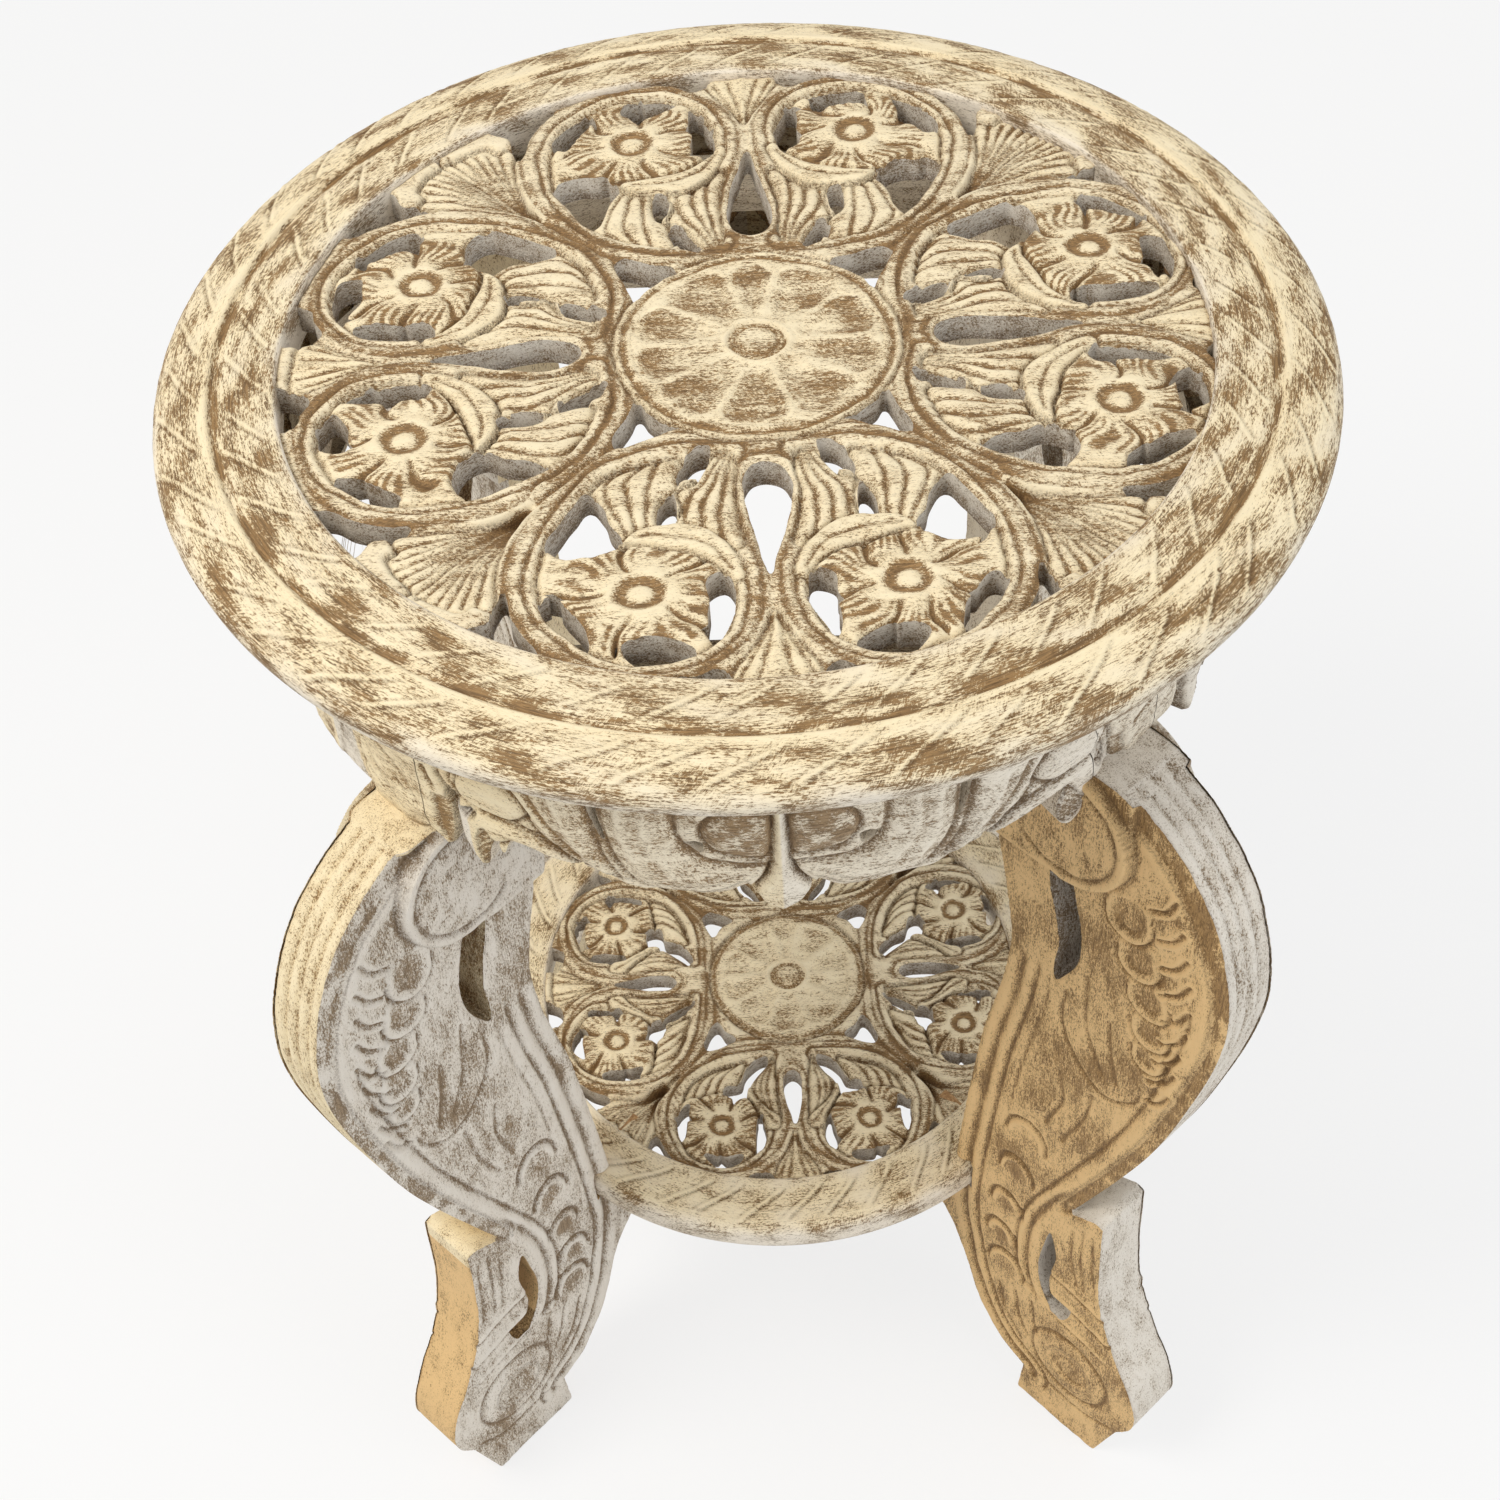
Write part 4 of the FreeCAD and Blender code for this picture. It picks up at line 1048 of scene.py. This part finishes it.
def leg(name, node, angle, lift, seed, tints_and_light, rubs):
    """One carved leg, drawn once for both sides, which are rubbed and toned apart; the tones are partly
    painted light, warm on some faces and cool and shaded on others.
    """
    def lifted(points):
        p = np.array(points, float)
        share = np.clip((LIFT_NONE - p[:, 1]) / LIFT_SPAN, 0, 1) * (p[:, 1] > 30)
        return np.stack([p[:, 0], TOP - p[:, 1] + lift * share], 1)

    cell = 0.9
    R, Z = np.meshgrid(np.arange(103.5, 239.5, cell), np.arange(-cell, 499.5, cell))
    outline = np.vstack([[(147, RIM_UNDER), (170.5, RIM_UNDER)], smooth(lifted(KNEE)), smooth(lifted(HOOK)),
                         smooth(lifted(TOE)), [(207.5, 0), (163, 0)], smooth(lifted(SOLE)),
                         [(106, 115), (106, SHELF_UNDER), (SHELF_OUT, SHELF_UNDER), (SHELF_OUT, SHELF_TOP),
                          (121, SHELF_TOP)], smooth(lifted(BACK))])
    field = distance(R, Z, outline, 30, True)
    field = pierced(field, R, Z, (lifted(KNEE_SLIT), lifted(FOOT_SLIT)))
    D = TOP - Z
    drawn = (D + lift * LIFT_NONE / LIFT_SPAN) / (1 + lift / LIFT_SPAN)
    D = np.where(D < LIFT_WHOLE - lift, D + lift, np.where(D < LIFT_NONE, drawn, D))
    knee_in, stem_in, line_in = (-distance(R, Z, smooth(lifted(line)), 24) for line in
                                 (KNEE, STEM, KNEE[7:12] + STEM[:1] + STEM[2:6]))
    inner_in = -distance(R, Z, smooth(lifted(INNER)), 26)
    wide = np.interp(D, [95, 112, 133, 153, 175, 197, 224, 400], [9, 9, 8, 6.5, 5.5, 5, 5.5, 6])
    x, z = lifted([EAR])[0]
    ear = 28 - np.hypot(R - x, Z - z)
    neck = distance(R, Z, [(110, 510), (158, 510), (158, z + 22), (165, z + 22), (165, z - 28),
                           (110, z - 28)], 12, True)
    front = distance(R, Z, [(150, 510), (190, 510), (190, TOP - 95), (175, TOP - 95), (165, z),
                            (150, z)], 12, True)
    head = np.maximum(ear, neck)
    lower = ease((D - 205) / 12)
    second = ease((D - 172) / 12) * ease((436 - D) / 8)
    on_stem = ease((D - 330) / 12) * ease((430 - D) / 6) * (stem_in > 0)
    on_knee = (knee_in > -1) & (D < 352)
    on_toe = ease((-stem_in + 3) / 2) * ease((D - 346) / 4) * ease((436 - D) / 4) * (R > 174)

    sides = []
    for s, rub in zip((seed, seed + 60), rubs):
        def noise(size, number, squeeze=1.0):
            return wobble(R, Z * squeeze, size, s + number)

        wr = R + 0.6 * noise(40, 0)
        wz = Z + 0.6 * noise(40, 1)
        f = Relief(wr, wz, 0.3 * noise(28, 2) + 0.12 * noise(6, 12), rub + 0.1 + 0.6 * noise(30, 3, 0.6))
        for r, d, across, along, more in BROWN:
            x, z = lifted([(r, d)])[0]
            f.worn += 1.5 * more * bell(np.hypot((wr - x) / across, (wz - z) / along), 1.0)

        def groove(d, width, depth, stain_and_shade, keep=1.0):
            f.cut(d, depth, width, 0.5 * stain_and_shade, stain_and_shade=stain_and_shade, keep=keep)

        def ridge(d, width, rise, keep=1.0):
            f.h += rise * bell(d, width) * keep
            f.worn -= 0.7 * bell(d, width) * keep

        def line_groove(points, width, depth, stain_and_shade, keep=1.0):
            groove(f.beside(lifted(points)), width, depth, stain_and_shade, keep)

        # sunk band beside the knee, with a lip, and the lines beside both edges
        sunk = ease((wide - knee_in) / 1.3) * on_knee
        f.h = f.h - 1.6 * sunk + 0.12 * sunk * np.sin((R + Z) * 2.2)
        f.worn += (0.6 + 0.7 * noise(9, 15)) * sunk
        lip = knee_in - wide - 0.4
        f.stain_and_shade(0.7 * bell(lip, 0.6) * on_knee)
        ridge(lip - 2.6, 2.0, 0.45, on_knee)
        groove(stem_in - 7.5, 1.5, 1.5, 0.6, on_stem)
        ridge(stem_in - 3.2, 2.2, 0.5, on_stem)
        ridge(stem_in - 10.9, 1.6, 0.3, on_stem)
        groove(line_in - 13.1, 0.9, 1.5, 0.6, second)
        groove(inner_in - 6.75, 1.6, 1.5, 0.6, lower)
        ridge(inner_in - 2.6, 2.0, 0.4, lower)
        ridge(inner_in - 10.6, 1.8, 0.5, lower)
        groove(inner_in - 13.8, 0.9, 1.5, 0.7, lower)
        groove(inner_in - 20, 0.8, 0.8, 0.3, ease((D - 214) / 10) * ease((320 - D) / 20))
        # scales down the knee, each laid over the one below, and short cuts beside them
        for r, d, size in reversed(SCALES):
            x, z = lifted([(r, d)])[0]
            far = np.hypot(wr - x, np.where(wz > z, 0.55, 1.0) * (wz - z))
            sd = size - 0.65 - far
            inside = (sd > 0) & (wz < z + 12)
            below = wz < z + 3
            f.fill(inside, -0.3 + 1.3 * ease(1 - sd / 6), rub + 0.8 - 1.3 * ease(1 - sd / 5))
            f.h -= 1.5 * bell(sd + 0.8, 0.9) * below
            f.h -= 0.6 * bell(far - size * 0.45, 0.7) * inside * (wz < z)
            f.stain_and_shade(0.8 * bell(sd + 0.7, 0.6) * below)
        for number in range(9):
            d = 134 + 12.5 * number
            r = np.interp(d, [134, 150, 185, 235], [205, 211, 216, 213])
            far = np.abs(f.beside(lifted([(r - 4, d + 7), (r + 2, d + 3), (r + 6, d - 5)])))
            groove(far, 0.9, 1.3, 0.6)
            ridge(far - 2.0, 0.9, 0.6)
        line_groove(CUP, 0.9, 1.1, 0.6)
        for line in KNEE_CUTS:
            line_groove(line, 1.0, 1.1, 0.5)
        # leaf tips one under the other in the lower channel
        for d in (322, 350, 378, 402, 424):
            x, z = lifted([(np.interp(d, [320, 350, 380, 402, 424], [157, 153, 149, 147, 151]), d)])[0]
            far = np.hypot(wr - x, (wz - z) * 0.8)
            size = np.interp(d, [320, 400, 424], [10.5, 7.5, 10])
            arcs = ease((wz - z + 3) / 3) * (far < size + 4)
            groove(far - size, 1.1, 1.6, 0.8, arcs)
            ridge(far - size + 2.0, 1.1, 0.7, arcs)
            f.worn += 0.9 * bell(far, 3.6) * (wz < z + 4)
        # scroll, foot and toe
        x, z = SCROLL[0], TOP - SCROLL[1]
        far = np.hypot(wr - x, wz - z)
        sd = 21 - far
        f.h = np.where(sd > 0, 0.2 + 0.6 * ease(sd / 9) - 0.9 * ease((12 - far) / 3), f.h)
        f.dark = np.where(sd > 0, 0.6 * bell(far - 12.5, 0.6), f.dark)
        groove(sd, 1.2, 1.2, 0.7)
        swirl = np.arctan2(wz - z, wr - x) / (2 * math.pi)
        spiral = ((far / 7.0 - swirl) % 1 - 0.5) * 7.0
        groove(spiral, 0.8, 0.5, 0.3, ease((11 - far) / 2) * ease((far - 2) / 2))
        for line in FOOT_CUTS:
            line_groove(line, 0.9, 1.0, 0.5)
        groove(f.beside(pts("160,30 178,25.5 200,25.5 214,33")), 1.0, 1.2, 0.7)
        for line in TOE_CUTS:
            line_groove(line, 0.8, 0.8, 0.45, on_toe)
        for d in (399, 413, 427):
            far = f.beside(lifted([(177, d), (190, d + 1), (206, d + 5)]), 8)
            ridge(far, 1.6, 0.7, on_toe)
            groove(far + 3.4, 0.8, 0.9, 0.5, on_toe)

        # the thicker head above, with its round ear
        ringed = bell(ear - 4.8, 0.9) * (ear > 0) * (R > 150)
        f.h = np.where(front > 0, 1.5, f.h)
        level = 5.5 - 1.1 * ringed + 0.25 * noise(14, 8) - 0.6 * (1 - np.clip(head / 1.3, 0, 1)) ** 2
        f.fill(head > 0, level, rub + 0.1 + 0.35 * noise(12, 9) - 0.4 * bell(ear - 2, 1.5))
        f.stain_and_shade(0.6 * ringed * (head > 0))
        f.stain_and_shade(0.7 * bell(head + 0.6, 0.7))
        f.rub(field, 3.5 / cell, 0.8, 0.9)
        f.round_edge(field, 0.7, 1.3)
        sides.append(f)

    a = math.radians(angle)
    out = np.array([math.cos(a), math.sin(a), 0])
    across = np.array([math.sin(a), -math.cos(a), 0])

    def place(points, heights):
        return points[:, :1] * out + heights[:, None] * across + points[:, 1:] * np.array([0, 0, 1.0])

    def wall(spot, normal, s):
        """The legs' edges: fluted outside at the knee, with painted shade on the walls of the slits, tan on
        some toes.
        """
        r, z = spot.T
        t = abs(2 * s - 1)
        knee = z - (TOP - 250 + lift)
        depth = TOP - z + lift
        outer = (normal[:, 0] > 0.1) & (r > 186) & (z > 178)
        upper = ease(knee / 40) * outer
        drift = 0.35 * wobble(z, r, 70, seed)
        lines = sum(bell(27 * (s - c) + drift, 1.2) for c in (0.25, 0.5, 0.75))
        push = -upper * (1.5 * lines + 0.25) - 0.8 * t ** 14 * (normal[:, 0] > 0)
        worn = upper * (0.7 * lines - 0.2) + 0.1 * ease((knee - 60) / 60) * outer
        # painted shade in the slits: their walls are darkened and show more wood, less so where they face
        # outward
        slit = (r > 155) & (r < 177) & (depth > 145) & (depth < 232)
        slit |= (r > 163) & (r < 189) & (depth > 372) & (depth < 440) & (normal[:, 0] < 0.9)
        stain_and_shade = 0.85 * slit * (0.55 + 0.45 * ease(t * 3 - 1)) * (1 - 0.5 * (normal[:, 0] > 0.3))
        toe = (z < TOP - 350 + lift) * float(tints_and_light[2] > 0.9)
        return push, worn + 0.1 * outer + 0.9 * slit, 0.9 * toe, stain_and_shade

    for side, tint in zip(sides, tints_and_light):
        side.tint += tint
    half = LEG_THICK / 2
    slab(name, node, wood_leg, R, Z, field, sides[0], half + sides[0].h, -half - sides[1].h, place, sides[1],
         26, wall, wall_worn=-0.1, wall_tint=tints_and_light[2])


# the tones of the two sides and the edge, partly the paint's own tone and partly painted light, warm on lit
# faces and cool on shaded ones, and how far each side is rubbed
LEG_TONE_AND_LIGHT = {
    "leg_front_left": ((0.8, 0.0, 1.05), (0.4, 0.15)),
    "leg_front_right": ((1.9, 0.3, 0.1), (0.45, 0.35)),
    "leg_back_right": ((0.3, 1.3, 0.4), (0.35, 0.4)),
    "leg_back_left": ((1.2, 0.2, 0.8), (0.4, 0.35)),
}
for number, (node, (angle, lift)) in enumerate(LEGS.items()):
    leg(node + "_carved", node, angle, lift, 300 + 17 * number, *LEG_TONE_AND_LIGHT[node])


def bare_wood():
    """Unpainted wood for the blocks and dowels that are out of sight."""
    material, n, shader = new_material("bare_wood")
    where = n.add("ShaderNodeTexCoord").outputs["Object"]
    lines = n.noise(n.stretch(where, (900, 900, 120)), 1.0, 5.0, 0.6, 0.4)
    colour = n.mix(n.ramp(lines, 0.3, 0.7), linear(190, 152, 104), linear(140, 102, 64))
    n.feed(shader.inputs["Base Color"], colour)
    n.feed(shader.inputs["Roughness"], n.math("ADD", n.math("MULTIPLY", lines, 0.2), 0.55))
    n.bump(shader, lines, 0.3, 0.0003)
    return material


plain = bare_wood()
for node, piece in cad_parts.items():
    if node.startswith("glue_block") or node == "dowels":
        piece.data.materials.clear()
        piece.data.materials.append(plain)


# camera, light and floor

def camera(spot, azimuth, elevation, roll, focal, centre):
    """The photo's camera: its place in mm, its turns in degrees, its focal length and centre in pixels."""
    a, e, r = (math.radians(v) for v in (azimuth, elevation, roll))
    back = np.array([math.sin(a) * math.cos(e), -math.cos(a) * math.cos(e), math.sin(e)])
    right = np.array([math.cos(a), math.sin(a), 0])
    up = np.cross(back, right)
    side = right * math.cos(r) + up * math.sin(r)
    rise = up * math.cos(r) - right * math.sin(r)
    data = bpy.data.cameras.new("camera")
    data.sensor_width = SENSOR_WIDTH
    data.lens = focal / PHOTO_WIDTH * SENSOR_WIDTH
    data.shift_x = 0.5 - centre[0] / PHOTO_WIDTH
    data.shift_y = centre[1] / PHOTO_WIDTH - 0.5
    data.clip_start = 0.01
    item = bpy.data.objects.new("camera", data)
    turn = Matrix((side, rise, back)).transposed().to_4x4()
    item.matrix_world = Matrix.Translation([c * MM for c in spot]) @ turn
    bpy.context.scene.collection.objects.link(item)
    bpy.context.scene.camera = item


camera((17.45, -640.05, 1034.23), 2.01984, 47.66033, -3.57827, 2419.604, (750, 700))


def lamp(name, spot, target, size, watts, colour):
    """A round lamp; spot, target and size are in metres."""
    data = bpy.data.lights.new(name, "AREA")
    data.shape = "DISK"
    data.size = size
    data.energy = watts
    data.color = colour
    item = bpy.data.objects.new(name, data)
    item.location = spot
    item.rotation_euler = (Vector(target) - Vector(spot)).to_track_quat("-Z", "Y").to_euler()
    bpy.context.scene.collection.objects.link(item)


lamp("key", (-1.0, -0.5, 2.0), (0, 0, 0.35), 0.9, 21, (1.0, 0.95, 0.86))
lamp("fill", (1.6, -1.2, 1.1), (0, 0, 0.3), 1.6, 12, (0.9, 0.95, 1.0))

world = bpy.data.worlds.new("world")
bpy.context.scene.world = world
world.use_nodes = True
w = Nodes(world.node_tree)
background = world.node_tree.nodes["Background"]
path = w.add("ShaderNodeLightPath")
seen = w.math("MAXIMUM", path.outputs["Is Camera Ray"], path.outputs["Is Glossy Ray"])
w.feed(background.inputs["Strength"], w.math("ADD", w.math("MULTIPLY", seen, 0.38), 0.62))
background.inputs["Color"].default_value = (1, 1, 1, 1)

FLOOR_REACH = 6.0
floor_mesh = bpy.data.meshes.new("floor")
floor_corners = [(FLOOR_REACH * x, FLOOR_REACH * y, 0) for x, y in ((-1, -1), (1, -1), (1, 1), (-1, 1))]
floor_mesh.from_pydata(floor_corners, [], [(0, 1, 2, 3)])
floor = bpy.data.objects.new("floor", floor_mesh)
bpy.context.scene.collection.objects.link(floor)
pale, p, matt = new_material("floor_pale")
matt.inputs["Base Color"].default_value = (0.8, 0.8, 0.8, 1)
matt.inputs["Roughness"].default_value = 0.8
glow = p.add("ShaderNodeEmission")
glow.inputs["Strength"].default_value = 1.0
path = p.add("ShaderNodeLightPath")
blend = p.add("ShaderNodeMixShader")
seen = p.math("MAXIMUM", path.outputs["Is Camera Ray"], path.outputs["Is Glossy Ray"])
p.feed(blend.inputs[0], p.math("MULTIPLY", seen, 0.75))
p.feed(blend.inputs[1], matt.outputs[0])
p.feed(blend.inputs[2], glow.outputs[0])
p.feed(pale.node_tree.nodes["Material Output"].inputs["Surface"], blend.outputs[0])
floor_mesh.materials.append(pale)

bpy.context.scene.view_settings.view_transform = "Standard"
